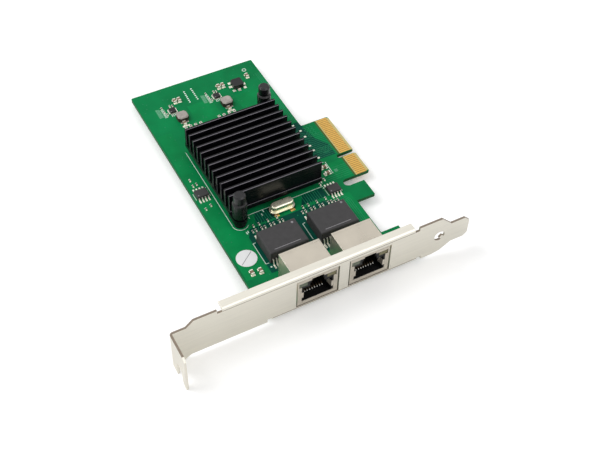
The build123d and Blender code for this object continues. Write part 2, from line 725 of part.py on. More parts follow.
def heat_sink():
    """Return the extruded fins on their base, with two ears and the bosses under them."""
    half_w = SINK_W / 2
    section = rect(-half_w, half_w, SINK_LOW, SINK_BASE_TOP)
    for i in range(FIN_COUNT):
        y0 = SINK_MARGIN - half_w + i * FIN_PITCH
        section += rect(y0, y0 + FIN_T, SINK_BASE_TOP, SINK_BASE_TOP + FIN_H)
    sink = lying_along_x(section, -SINK_LENGTH / 2, SINK_LENGTH / 2)
    for side in (-1, 1):
        x = side * EAR_X
        y = side * EAR_Y
        ear = Pos(x, y) * Circle(EAR_R)
        ear += rect(x - EAR_R, x + EAR_R, *sorted((y, side * half_w)))
        sink += Pos(0, 0, SINK_LOW) * extrude(ear, SINK_BASE_T)
        sink += Pos(x, y, 0) * rod(EAR_BOSS_D, EAR_BOSS_GAP, SINK_LOW)
        sink -= Pos(x, y, 0) * rod(PIN_D + 2 * PIN_FIT, 0, SINK_BASE_TOP + 1)
    return Pos(SINK_X, SINK_Y, 0) * sink


def controller_chip():
    """Return the controller chip under the heat sink."""
    return Pos(SINK_X, SINK_Y, 0) * moulded_body(CHIP_SIDE, CHIP_SIDE, 0, CHIP_H, CHIP_CHAMFER)


def thermal_pad():
    """Return the soft pad between the chip and the heat sink."""
    return Pos(SINK_X, SINK_Y, 0) * centred_block(PAD_SIDE, PAD_SIDE, CHIP_H, SINK_LOW)


def push_pin():
    """Return a push pin: cap, skirt over the spring, shank and split barb below the board."""
    skirt_r = SKIRT_D / 2
    bore_r = skirt_r - SKIRT_WALL
    pin_r = PIN_D / 2
    cap_r = PIN_CAP_D / 2
    neck_r = PIN_NECK_D / 2
    skirt_low = SINK_BASE_TOP + SKIRT_TOP
    skirt_high = SINK_BASE_TOP + SKIRT_H
    cap_high = SINK_BASE_TOP + PIN_HEIGHT
    cap_low = cap_high - PIN_CAP_H
    barb_z = UNDERSIDE - PIN_FIT / 2
    tip_z = barb_z - BARB_H
    profile = [
        (0, tip_z),
        (BARB_TIP_D / 2, tip_z),
        (BARB_D / 2, barb_z),
        (pin_r, barb_z),
        (pin_r, SKIRT_CEILING),
        (bore_r, SKIRT_CEILING),
        (bore_r, skirt_low),
        (skirt_r, skirt_low),
        (skirt_r, skirt_high - SKIRT_WALL),
        (cap_r, cap_low - PIN_NECK_H),
        (neck_r, cap_low - PIN_NECK_H),
        (neck_r, cap_low),
        (cap_r, cap_low),
        (cap_r, cap_high - PIN_CAP_BEVEL),
        (cap_r - PIN_CAP_BEVEL, cap_high),
        (0, cap_high),
    ]
    pin = revolve(Plane.XZ * make_face(Polyline(*profile, close=True)), Axis.Z)
    return pin - centred_block(BARB_D + 1, BARB_SLIT, tip_z - 1, SINK_LOW)


def push_pin_spring():
    """Return the coil spring between the ear and the ceiling of the skirt."""
    wire_r = SPRING_WIRE / 2
    step = 360 / SPRING_SIDES
    radius = (PIN_D / 2 + PIN_FIT + wire_r) / cos(radians(step / 2))
    room = SKIRT_CEILING - SINK_BASE_TOP - SPRING_WIRE - 2 * SPRING_GAP
    count = SPRING_SIDES * SPRING_TURNS
    points = [
        (radius * cos(radians(step * i)), radius * sin(radians(step * i)), room * i / count)
        for i in range(count + 1)
    ]
    coil = Polyline(*points)
    start = Plane(origin=coil @ 0, z_dir=coil % 0)
    wire = start * RegularPolygon(wire_r, SPRING_WIRE_SIDES)
    spring = sweep(wire, path=coil, transition=Transition.RIGHT)
    return Pos(0, 0, SINK_BASE_TOP + SPRING_GAP + wire_r) * spring


# Leaded packages, each drawn about its own middle


def gull_leads(count, body_depth, exit_z, reach, foot):
    """Return two rows of bent leads, one on each long side of a package."""
    mid = LEAD_T / 2
    bend = (reach - foot) / 2
    start = body_depth / 2
    section = trace(
        Polyline(
            (start, exit_z),
            (start + bend, exit_z),
            (start + reach - foot, mid),
            (start + reach, mid),
        ),
        LEAD_T,
    )
    leads = []
    for i in range(count):
        x = (i - (count - 1) / 2) * LEAD_PITCH
        lead = lying_along_x(section, x - LEAD_W / 2, x + LEAD_W / 2)
        leads += [lead, Rot(0, 0, 180) * lead]
    return leads


def moulded_body(width, depth, z0, height, bevel):
    """Return a moulded package with a bevelled top."""
    body = centred_block(width, depth, z0, z0 + height)
    return chamfer(body.edges().group_by(Axis.Z)[-1], bevel)


def magnetics_body():
    """Return the body of one magnetics module."""
    return moulded_body(MAGNETICS_W, MAGNETICS_DEPTH, STANDOFF, MAGNETICS_H, MAGNETICS_BEVEL)


def magnetics_leads():
    """Return the leads of one magnetics module."""
    return gull_leads(MAGNETICS_LEAD_COUNT, MAGNETICS_DEPTH, LEAD_EXIT, LEAD_REACH, LEAD_FOOT)


def small_chip_body():
    """Return the body of an eight-lead chip."""
    z0 = SMALL_CHIP_STANDOFF
    return moulded_body(SMALL_CHIP_L, SMALL_CHIP_W, z0, SMALL_CHIP_H, z0)


def small_chip_leads():
    """Return the leads of an eight-lead chip."""
    return gull_leads(
        SMALL_LEAD_COUNT, SMALL_CHIP_W, SMALL_LEAD_EXIT, SMALL_LEAD_REACH, SMALL_LEAD_FOOT
    )


# Crystal, power stage and chip parts


def crystal_can():
    """Return the crystal's drawn metal can with its rim."""
    rim = SlotOverall(CRYSTAL_L + 2 * CRYSTAL_RIM, CRYSTAL_W + 2 * CRYSTAL_RIM)
    can = extrude(SlotOverall(CRYSTAL_L, CRYSTAL_W), CRYSTAL_H - CRYSTAL_BASE_T)
    can = chamfer(can.edges().group_by(Axis.Z)[-1], CRYSTAL_BEVEL)
    can += extrude(rim, CRYSTAL_RIM_T)
    return Pos(*CRYSTAL_PLACE, CRYSTAL_BASE_T) * can


def crystal_base():
    """Return the insulating base between the crystal and the board."""
    base = centred_block(CRYSTAL_L + CRYSTAL_RIM, CRYSTAL_W + CRYSTAL_RIM, 0, CRYSTAL_BASE_T)
    return Pos(*CRYSTAL_PLACE, 0) * base


def power_inductor():
    """Return a moulded power inductor with its corners cut off."""
    body = centred_block(INDUCTOR_SIDE, INDUCTOR_SIDE, 0, INDUCTOR_H)
    body = chamfer(body.edges().filter_by(Axis.Z), INDUCTOR_CHAMFER)
    return chamfer(body.edges().group_by(Axis.Z)[-1], CHIP_CHAMFER)


def regulator_body():
    """Return the voltage regulator's body."""
    z0 = REGULATOR_PAD_T
    body = centred_block(REGULATOR_SIDE, REGULATOR_SIDE, z0, z0 + REGULATOR_H)
    body = chamfer(body.edges().filter_by(Axis.Z), REGULATOR_CHAMFER)
    return Pos(*REGULATOR_PLACE, 0) * body


def regulator_pads():
    """Return the four flat terminals that the regulator stands on."""
    offset = (REGULATOR_SIDE - REGULATOR_PAD) / 2 + LEAD_T
    pads = []
    for dx, dy in ((-offset, 0), (offset, 0), (0, -offset), (0, offset)):
        pad = centred_block(REGULATOR_PAD, REGULATOR_PAD, 0, REGULATOR_PAD_T)
        pads.append(Pos(REGULATOR_PLACE[0] + dx, REGULATOR_PLACE[1] + dy, 0) * pad)
    return pads


def converter_chip():
    """Return one of the flat converter chips beside the inductors."""
    chip = centred_block(CONVERTER_SIDE, CONVERTER_SIDE, 0, CONVERTER_H)
    return Pos(CONVERTER_SHIFT_X, CONVERTER_SHIFT_Y, 0) * chip


def chip_part(length, width, height, end):
    """Return the body and the two end caps of a chip part that lies along y."""
    inset = END_CAP_PROUD
    body = centred_block(width - 2 * inset, length - 2 * end, inset, height - inset)
    caps = [
        Pos(0, side * (length - end) / 2, 0) * centred_block(width, end, 0, height)
        for side in (-1, 1)
    ]
    return body, caps


def near(place, offsets):
    """Return the places at some offsets from a part."""
    return [(place[0] + x, place[1] + y) for x, y in offsets]


def capacitor_places():
    """Return the larger capacitors' places, and by how much each is turned."""
    upright = near(REGULATOR_PLACE, REGULATOR_CAPACITORS) + near(STICKER_PLACE, STICKER_CAPACITORS)
    for place in INDUCTOR_PLACES:
        upright += near(place, INDUCTOR_CAPACITORS)
    corner = (SINK_X + SINK_LENGTH / 2, SINK_FRONT)
    lying = near(corner, SINK_CAPACITORS)
    return [(x, y, 0) for x, y in upright] + [(x, y, 90) for x, y in lying]


def small_part_places():
    """Return the smallest chip parts' places, in rows beside the parts that they serve."""
    places = near(MEMORY_PLACE, MEMORY_PARTS) + near(SUPERVISOR_PLACE, SUPERVISOR_PARTS)
    rows = [(x, MAGNETICS_NEAR_ROW_Y) for x in MAGNETICS_NEAR_ROW]
    rows += [(x, MAGNETICS_FAR_ROW_Y) for x in MAGNETICS_FAR_ROW]
    for x in JACK_PLACES:
        places += near((x, SINK_FRONT), rows)
    for place, row in zip(INDUCTOR_PLACES, (LEFT_ROW_PARTS, RIGHT_ROW_PARTS)):
        places += near(place, CONVERTER_PARTS + row)
    return places


def round_sticker():
    """Return the blank round sticker on the board."""
    return Pos(*STICKER_PLACE) * post(STICKER_D, STICKER_SIDES, 0, STICKER_T)


# Writing the sub-parts


def save_jacks():
    """Write both jacks, their lights and the magnetics module behind each."""
    lights = {-1: [], 1: []}
    for number, x in enumerate(JACK_PLACES, start=1):
        place = Pos(x, JACK_FRONT, 0)
        save(f"jack_shell_{number}", place * jack_shell())
        save(f"jack_housing_{number}", place * jack_housing())
        save(f"contact_insert_{number}", place * contact_insert())
        save(f"contact_wires_{number}", *[place * wire for wire in contact_wires()])
        for side in lights:
            lights[side].append(place * link_light(side))
        behind = Pos(x, MAGNETICS_Y, 0)
        save(f"magnetics_body_{number}", behind * magnetics_body())
        save(f"magnetics_leads_{number}", *[behind * lead for lead in magnetics_leads()])
    save("link_lights_green", *lights[-1])
    save("link_lights_amber", *lights[1])


def save_chips():
    """Write the eight-lead chips and the chip parts."""
    places = {"memory_chip": MEMORY_PLACE, "supervisor_chip": SUPERVISOR_PLACE}
    for name, place in places.items():
        spot = Pos(*place, 0)
        save(f"{name}_body", spot * small_chip_body())
        save(f"{name}_leads", *[spot * lead for lead in small_chip_leads()])

    body, caps = chip_part(CAPACITOR_L, CAPACITOR_W, CAPACITOR_H, CAPACITOR_END)
    spots = [Pos(x, y, 0) * Rot(0, 0, angle) for x, y, angle in capacitor_places()]
    save("capacitor_bodies", *[spot * body for spot in spots])
    save("capacitor_end_caps", *[spot * cap for spot in spots for cap in caps])

    body, caps = chip_part(SMALL_PART_L, SMALL_PART_W, SMALL_PART_H, SMALL_PART_END)
    spots = [Pos(x, y, 0) for x, y in small_part_places()]
    save("small_part_bodies", *[spot * body for spot in spots])
    save("small_part_end_caps", *[spot * cap for spot in spots for cap in caps])


def save_card():
    """Write every sub-part of the card."""
    save("printed_board", printed_board())
    save("edge_contacts_upper", *edge_contacts(0))
    save("edge_contacts_lower", *edge_contacts(UNDERSIDE - CONTACT_T))
    save("bracket", bracket())
    save("bracket_screws", *[Pos(x, y, 0) * bracket_screw() for x, y in LUG_PLACES])
    save("heat_sink", heat_sink())
    save("controller_chip", controller_chip())
    save("thermal_pad", thermal_pad())
    save("push_pins", *[Pos(x, y, 0) * push_pin() for x, y in PIN_PLACES])
    save("push_pin_springs", *[Pos(x, y, 0) * push_pin_spring() for x, y in PIN_PLACES])
    save("crystal_can", crystal_can())
    save("crystal_base", crystal_base())
    save("power_inductors", *[Pos(x, y, 0) * power_inductor() for x, y in INDUCTOR_PLACES])
    save("converter_chips", *[Pos(x, y, 0) * converter_chip() for x, y in INDUCTOR_PLACES])
    save("regulator_body", regulator_body())
    save("regulator_pads", *regulator_pads())
    save("round_sticker", round_sticker())
    save_jacks()
    save_chips()


os.makedirs("parts", exist_ok=True)
save_card()
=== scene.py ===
"""Dresses the frame of a two-port network interface card.

Places on the card are in millimetres: x runs along the bracket from the outer face of its ledge,
y runs inward from the outer face of its plate, and z rises from the board's upper side. The
function card turns such a place into the frame's metres.
"""

from __future__ import annotations

import json
import logging
import math
import random
from dataclasses import dataclass
from enum import Enum

import bmesh
import bpy
from mathutils import Matrix, Vector

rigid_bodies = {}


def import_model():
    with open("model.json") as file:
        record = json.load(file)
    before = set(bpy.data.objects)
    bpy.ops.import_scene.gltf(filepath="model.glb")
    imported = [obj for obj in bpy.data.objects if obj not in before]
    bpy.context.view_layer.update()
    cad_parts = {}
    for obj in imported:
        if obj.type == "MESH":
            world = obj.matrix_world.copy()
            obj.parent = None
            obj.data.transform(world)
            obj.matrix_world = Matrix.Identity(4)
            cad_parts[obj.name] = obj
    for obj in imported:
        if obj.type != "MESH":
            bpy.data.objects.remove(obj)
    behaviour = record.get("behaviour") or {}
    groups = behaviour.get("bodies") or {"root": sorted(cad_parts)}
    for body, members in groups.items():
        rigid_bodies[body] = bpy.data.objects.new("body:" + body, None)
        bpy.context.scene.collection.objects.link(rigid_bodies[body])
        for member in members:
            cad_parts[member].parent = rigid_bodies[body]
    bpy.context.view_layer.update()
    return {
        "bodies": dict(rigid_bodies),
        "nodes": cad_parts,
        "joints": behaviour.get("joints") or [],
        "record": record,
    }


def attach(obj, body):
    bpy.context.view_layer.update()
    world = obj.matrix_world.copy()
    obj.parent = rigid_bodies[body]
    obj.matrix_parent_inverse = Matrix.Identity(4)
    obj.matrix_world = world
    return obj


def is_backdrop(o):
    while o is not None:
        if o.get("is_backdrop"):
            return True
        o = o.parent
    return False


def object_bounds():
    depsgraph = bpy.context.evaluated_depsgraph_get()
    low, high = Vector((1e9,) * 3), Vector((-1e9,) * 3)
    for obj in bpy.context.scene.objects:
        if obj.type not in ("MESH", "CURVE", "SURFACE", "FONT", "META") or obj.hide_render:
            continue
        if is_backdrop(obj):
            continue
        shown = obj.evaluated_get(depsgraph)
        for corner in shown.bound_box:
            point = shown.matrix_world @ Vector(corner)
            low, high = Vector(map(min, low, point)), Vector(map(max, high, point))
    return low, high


LOG = logging.getLogger("network_card")
BODY = "root"
MM = 0.001
MERGE_DISTANCE = 1e-7

EDGE_X = 105.08
KEY_Y = 58.15
BOARD_T = 1.57
BOARD_LOW = (36.43, 1.6)
BOARD_HIGH = (92.47, 126.8)
JACK_XS = (56.38, 77.58)
JACK_CONTACTS = 8
WIRE_PITCH = 1.016
INDUCTORS = ((50.9, 106.3), (71.1, 106.3))
REGULATOR = (79.87, 114.4)
SMALL_CHIPS = ((40.13, 63.82), (86.97, 43.0))
LEAD_PITCH = 1.27
PIN_PLACES = ((46.95, 43.72), (81.75, 92.52))
SCREW_PLACES = ((41.9, 8.0), (94.62, 8.0))
DARK_NODES = ("regulator_body", "converter_chips")
# Near-white for hard edges: partly wear, partly a painted highlight.
EDGE_WEAR_AND_HIGHLIGHT = (250, 248, 240)
WHITE = (1.0, 1.0, 1.0, 1.0)

Pair = tuple[float, float]
Triple = tuple[float, float, float]
Place = tuple[float, ...]
Path = list[Pair]
Colour = Triple
Mesh = bpy.types.Mesh
Tree = bpy.types.NodeTree
Socket = bpy.types.NodeSocket


def card(x: float, y: float, z: float = 0.0) -> Vector:
    """Turn a place on the card, in millimetres, into the frame's metres."""
    return Vector((x - EDGE_X, y - KEY_Y, z + BOARD_T / 2)) * MM


def linear(byte: float) -> float:
    """Turn one screen value from 0 to 255 into linear light."""
    value = byte / 255.0
    return value / 12.92 if value <= 0.04045 else ((value + 0.055) / 1.055) ** 2.4


def shade(colour: Colour, factor: float = 1.0) -> tuple[float, ...]:
    """Turn a screen colour into linear light, lighter or darker by a factor."""
    return (*(min(1.0, linear(channel) * factor) for channel in colour), 1.0)


def made(name: str, points: list[Vector], edges: list[Place], faces: list[Place]) -> Mesh:
    """Make a mesh from its points, edges and faces.

    Args:
        name: Its name.
        points: Its points, in metres.
        edges: The two points of each edge.
        faces: The points round each face.

    Returns:
        The mesh.
    """
    mesh = bpy.data.meshes.new(name)
    mesh.from_pydata(points, edges, faces)
    return mesh


def put(name: str, data: bpy.types.ID) -> bpy.types.Object:
    """Put an object made of some data into the scene.

    Args:
        name: The object's name.
        data: Its mesh, camera or lamp.

    Returns:
        The object.
    """
    item = bpy.data.objects.new(name, data)
    bpy.context.scene.collection.objects.link(item)
    return item


class Pattern(Enum):
    """How far a finish's clouding is stretched along each axis."""

    CLOUDY = (1.0, 1.0, 1.0)
    ALONG_X = (0.03, 1.0, 1.0)


@dataclass(frozen=True)
class Finish:
    """One finish: its colour on screen, its shine, and how it varies over the surface."""

    name: str
    colour: Colour
    roughness: float = 0.5
    metallic: float = 0.0
    specular: float = 0.5
    coat: float = 0.0
    pattern: Pattern = Pattern.CLOUDY
    scale: float = 300.0
    spread: float = 0.08
    grain: float = 0.15
    grain_scale: float = 5000.0
    edge: float = 0.0
    edge_width: float = 0.12
    woven: bool = False
    side: Colour | None = None


NODE_FINISHES = (
    Finish("board_green", (8, 120, 68), 0.4, specular=0.06, scale=70.0, spread=0.2, woven=True,
           side=(34, 92, 52)),
    Finish("gold_plating", (224, 178, 92), 0.3, metallic=0.75, scale=900.0, spread=0.06),
    # Darkened gold: the low colour paints the shade that the wires sit in inside each jack.
    Finish("contact_gold", (58, 50, 38), 0.4, metallic=1.0),
    Finish("bracket_steel", (230, 226, 214), 0.34, metallic=0.8, pattern=Pattern.ALONG_X,
           scale=1800.0, spread=0.03, grain=0.03, edge=0.12, edge_width=0.2),
    Finish("jack_shield", (200, 192, 178), 0.3, metallic=0.8, scale=120.0, spread=0.06,
           grain=0.02, edge=0.2),
    Finish("screw_steel", (190, 188, 184), 0.3, metallic=1.0, edge=0.3),
    Finish("black_aluminium", (8, 8, 12), 0.3, specular=0.22, pattern=Pattern.ALONG_X,
           scale=3000.0, spread=0.2),
    Finish("black_plastic", (9, 9, 10), 0.5, specular=0.3),
    Finish("pin_plastic", (12, 12, 15), 0.28, specular=0.45, edge=0.02),
    Finish("package_resin", (60, 59, 60), 0.62, specular=0.3, scale=500.0, spread=0.12, grain=0.3,
           edge=0.02),
    Finish("tinned_leads", (244, 242, 230), 0.34, metallic=0.5, scale=1500.0),
    Finish("spring_steel", (150, 150, 150), 0.3, metallic=1.0),
    Finish("thermal_rubber", (150, 150, 154), 0.85, specular=0.2, grain=0.4),
    # Its strong edge whitening is mostly a painted highlight along the can's rims.
    Finish("crystal_metal", (238, 234, 210), 0.28, metallic=0.9, scale=400.0, edge=0.45,
           edge_width=0.25),
    # The inductors' darker side colour is a painted shade on their upright faces.
    Finish("inductor_ferrite", (164, 156, 150), 0.6, specular=0.3, scale=500.0, spread=0.2,
           grain=0.5, side=(58, 48, 42)),
    Finish("capacitor_ceramic", (128, 104, 82), 0.45, scale=1200.0),
    Finish("resistor_black", (34, 33, 34), 0.4, scale=1500.0),
    Finish("green_lens", (76, 86, 64), 0.18, coat=0.4, scale=800.0),
    Finish("amber_lens", (98, 92, 48), 0.18, coat=0.4, scale=800.0),
    Finish("white_paper", (228, 229, 230), 0.7, specular=0.2, scale=600.0, spread=0.02),
)

TRIM_FINISHES = (
    Finish("silk_white", (214, 232, 220), 0.6, specular=0.2, scale=1500.0),
    Finish("masked_copper", (36, 140, 92), 0.36, specular=0.1, scale=500.0),
    Finish("pale_mask", (84, 152, 114), 0.42, specular=0.2, scale=2500.0, spread=0.45),
    Finish("deep_mask", (6, 72, 58), 0.4, specular=0.06, scale=150.0, spread=0.2, woven=True),
    Finish("bright_mask", (8, 128, 70), 0.36, specular=0.06, scale=150.0, spread=0.12, woven=True),
    Finish("olive_laminate", (62, 86, 26), 0.55, specular=0.3, scale=900.0, woven=True),
    Finish("pale_laminate", (196, 182, 122), 0.6, specular=0.2, scale=900.0, woven=True),
    # Painted shade lines at the foot of the bracket's bends, and a darker skin on its cut edges.
    Finish("fold_shade_and_edge_grey", (134, 122, 108), 0.5, metallic=0.2, specular=0.3, scale=2000.0),
    Finish("tan_laminate", (150, 118, 62), 0.5, specular=0.3, scale=900.0),
    Finish("dark_resin", (20, 19, 21), 0.4, specular=0.35, scale=500.0, grain=0.3, edge=0.02),
    Finish("solder", (240, 240, 224), 0.3, metallic=0.5, scale=1800.0, spread=0.12),
    Finish("pad_gold", (232, 186, 110), 0.3, metallic=0.7),
    # Dark discs that paint the shade inside the via holes.
    Finish("via_hole_shade", (10, 26, 18), 0.6),
    Finish("print_grey", (132, 130, 134), 0.6, scale=2500.0, spread=0.25),
    # Painted highlights along the fin crests and the base's step.
    Finish("fin_highlight_grey", (122, 118, 126), 0.4, specular=0.4, pattern=Pattern.ALONG_X,
           scale=2500.0, spread=0.2),
    # Painted highlights on the noses of the jack's contact wires.
    Finish("nose_glint_white", (236, 234, 228), 0.3, metallic=0.2),
)


def feed(tree: Tree, socket: Socket, value: object) -> None:
    """Link an output to an input, or set the input to a plain value.

    Args:
        tree: The tree.
        socket: The input.
        value: The output or the value.
    """
    if isinstance(value, Socket):
        tree.links.new(value, socket)
    else:
        socket.default_value = value


def feed_all(tree: Tree, node: bpy.types.Node, inputs: dict[str | int, object]) -> None:
    """Feed several of a node's inputs, by their name or number."""
    for label, value in inputs.items():
        feed(tree, node.inputs[label], value)


def add(
    tree: Tree, kind: str, inputs: dict[str | int, object] | None = None, **settings: object
) -> bpy.types.Node:
    """Add a node to a tree.

    Args:
        tree: The tree.
        kind: The node's type.
        inputs: What feeds its inputs, by their name or number.
        **settings: Its properties.

    Returns:
        The node.
    """
    node = tree.nodes.new(kind)
    for name, value in settings.items():
        setattr(node, name, value)
    feed_all(tree, node, inputs or {})
    return node


def math_node(tree: Tree, operation: str, first: object, second: object) -> Socket:
    """Add a Math node to a tree and return its result."""
    return add(tree, "ShaderNodeMath", {0: first, 1: second}, operation=operation).outputs[0]


def start_tree(
    name: str, kind: str, inputs: dict[str, str], outputs: dict[str, str]
) -> tuple[Tree, bpy.types.bpy_prop_collection, bpy.types.bpy_prop_collection]:
    """Start a node group.

    Args:
        name: The group's name.
        kind: The type of its tree.
        inputs: The kinds of its inputs by name.
        outputs: The kinds of its outputs by name.

    Returns:
        The group, what it is given and what it has to fill.
    """
    tree = bpy.data.node_groups.new(name, kind)
    for in_out, sockets in (("INPUT", inputs), ("OUTPUT", outputs)):
        for label, socket in sockets.items():
            tree.interface.new_socket(label, in_out=in_out, socket_type=f"NodeSocket{socket}")
    given = tree.nodes.new("NodeGroupInput").outputs
    return tree, given, tree.nodes.new("NodeGroupOutput").inputs


@dataclass
class Paintbox:
    """Builds the shader groups once and makes every material from its finish."""

    cloud_range: Pair = (0.3, 0.7)
    roughness_spread: float = 0.25
    coat_roughness: float = 0.15
    bump_depth: float = 0.02
    bevel_samples: int = 6
    edge_wear_and_highlight_gain: float = 6.0
    thread_scale: float = 700.0
    thread_share: float = 0.1
    thread_shade: float = 1.5
    upright_limit: float = 0.3

    def __post_init__(self) -> None:
        """Build the groups and all materials."""
        self.surface = self.surface_group()
        self.edges = self.edge_group()
        self.weave = self.weave_group()
        self.uprights = self.side_group()
        finishes = NODE_FINISHES + TRIM_FINISHES
        self.materials = {finish.name: self.material(finish) for finish in finishes}

    def surface_group(self) -> Tree:
        """Build the clouding and the fine grain that most finishes have.

        Returns:
            The shader group.
        """
        tree, given, result = start_tree(
            "surface_grain", "ShaderNodeTree",
            {"Vector": "Vector", "Stretch": "Vector", "Scale": "Float", "Grain Scale": "Float",
             "Roughness": "Float", "Roughness Spread": "Float"},
            {"Cloud": "Float", "Roughness": "Float", "Height": "Float"},
        )
        stretched = add(
            tree, "ShaderNodeVectorMath", {0: given["Vector"], 1: given["Stretch"]},
            operation="MULTIPLY",
        ).outputs["Vector"]
        cloud, grain = (
            add(tree, "ShaderNodeTexNoise",
                {"Detail": detail, "Vector": stretched, "Scale": given[label]}).outputs["Fac"]
            for label, detail in (("Scale", 4.0), ("Grain Scale", 2.0))
        )
        low, high = self.cloud_range
        ramp = add(tree, "ShaderNodeMapRange", {"From Min": low, "From Max": high, "Value": cloud})
        feed(tree, result["Cloud"], ramp.outputs["Result"])
        offset = math_node(tree, "SUBTRACT", cloud, 0.5)
        scaled = math_node(tree, "MULTIPLY", offset, given["Roughness Spread"])
        feed(tree, result["Roughness"], math_node(tree, "ADD", scaled, given["Roughness"]))
        feed(tree, result["Height"], grain)
        return tree

    def edge_group(self) -> Tree:
        """Build the rounded edges of hard pieces, and a mask that whitens them as wear and as
        painted highlight.

        Returns:
            The shader group.
        """
        tree, given, result = start_tree(
            "worn_and_highlit_edges", "ShaderNodeTree", {"Radius": "Float"},
            {"Edge": "Float", "Normal": "Vector"},
        )
        bevel = add(
            tree, "ShaderNodeBevel", {"Radius": given["Radius"]}, samples=self.bevel_samples
        ).outputs["Normal"]
        flat = add(tree, "ShaderNodeNewGeometry").outputs["True Normal"]
        dot = add(tree, "ShaderNodeVectorMath", {0: bevel, 1: flat}, operation="DOT_PRODUCT")
        turned = math_node(tree, "SUBTRACT", 1.0, dot.outputs["Value"])
        edge = math_node(tree, "MULTIPLY", turned, self.edge_wear_and_highlight_gain)
        feed(tree, result["Edge"], math_node(tree, "MINIMUM", edge, 1.0))
        feed(tree, result["Normal"], bevel)
        return tree

    def weave_group(self) -> Tree:
        """Build the glass cloth that shows faintly through the board's coating.

        Returns:
            The shader group.
        """
        tree, given, result = start_tree(
            "glass_cloth", "ShaderNodeTree", {"Vector": "Vector", "Scale": "Float"},
            {"Thread": "Float"},
        )
        waves = [
            add(tree, "ShaderNodeTexWave",
                {"Distortion": 0.6, "Detail": 1.0, "Vector": given["Vector"],
                 "Scale": given["Scale"]}, bands_direction=direction).outputs["Fac"]
            for direction in ("X", "Y")
        ]
        feed(tree, result["Thread"], math_node(tree, "MULTIPLY", *waves))
        return tree

    def side_group(self) -> Tree:
        """Build the mask of the upright faces, which get their own colour: the board's cut
        laminate, and a painted shade on the inductors' sides.

        Returns:
            The shader group.
        """
        tree, _, result = start_tree("upright_faces", "ShaderNodeTree", {}, {"Side": "Float"})
        flat = add(tree, "ShaderNodeNewGeometry").outputs["True Normal"]
        height = add(tree, "ShaderNodeSeparateXYZ", {"Vector": flat}).outputs["Z"]
        upright = math_node(tree, "ABSOLUTE", height, 0.0)
        side = math_node(tree, "LESS_THAN", upright, self.upright_limit)
        feed(tree, result["Side"], side)
        return tree

    @staticmethod
    def blend(tree: Tree, factor: object, first: object, second: object) -> Socket:
        """Add a colour mix to a material and return its result."""
        inputs = {"Factor": factor, 6: first, 7: second}
        return add(tree, "ShaderNodeMix", inputs, data_type="RGBA").outputs[2]

    def material(self, finish: Finish) -> bpy.types.Material:
        """Make the procedural material of one finish.

        Args:
            finish: The finish.

        Returns:
            The material.
        """
        material = bpy.data.materials.new(finish.name)
        material.use_nodes = True
        tree = material.node_tree
        where = add(tree, "ShaderNodeTexCoord").outputs["Object"]
        grain = add(
            tree, "ShaderNodeGroup",
            {"Vector": where, "Stretch": finish.pattern.value, "Scale": finish.scale,
             "Grain Scale": finish.grain_scale, "Roughness": finish.roughness,
             "Roughness Spread": self.roughness_spread}, node_tree=self.surface,
        ).outputs
        dark, light = (shade(finish.colour, 1.0 + side * finish.spread) for side in (-1, 1))
        colour = self.blend(tree, grain["Cloud"], dark, light)
        if finish.woven:
            cloth = add(
                tree, "ShaderNodeGroup", {"Scale": self.thread_scale, "Vector": where},
                node_tree=self.weave,
            )
            thread = math_node(tree, "MULTIPLY", cloth.outputs["Thread"], self.thread_share)
            colour = self.blend(tree, thread, colour, shade(finish.colour, self.thread_shade))
        # Upright faces take the side colour: the board's cut laminate, and a painted shade on the
        # inductors.
        if finish.side:
            side = add(tree, "ShaderNodeGroup", node_tree=self.uprights).outputs["Side"]
            colour = self.blend(tree, side, colour, shade(finish.side))
        bump = add(
            tree, "ShaderNodeBump",
            {"Strength": finish.grain, "Distance": self.bump_depth * MM,
             "Height": grain["Height"]},
        )
        # Edges mix towards a near-white: partly wear, partly a painted highlight.
        if finish.edge:
            wear_and_highlight = add(
                tree, "ShaderNodeGroup", {"Radius": finish.edge_width * MM},
                node_tree=self.edges,
            ).outputs
            feed(tree, bump.inputs["Normal"], wear_and_highlight["Normal"])
            amount = math_node(tree, "MULTIPLY", wear_and_highlight["Edge"], finish.edge)
            colour = self.blend(tree, amount, colour, shade(EDGE_WEAR_AND_HIGHLIGHT))
        feed_all(tree, tree.nodes["Principled BSDF"], {
            "Base Color": colour, "Metallic": finish.metallic, "Roughness": grain["Roughness"],
            "Specular IOR Level": finish.specular, "Coat Weight": finish.coat,
            "Coat Roughness": self.coat_roughness, "Normal": bump.outputs["Normal"],
        })
        return material


class Shape(Enum):
    """The small shapes that the stamp tree can set down."""

    BOX = "box"
    DISC = "disc"
    RING = "ring"
    BLOB = "blob"
    CONE = "cone"


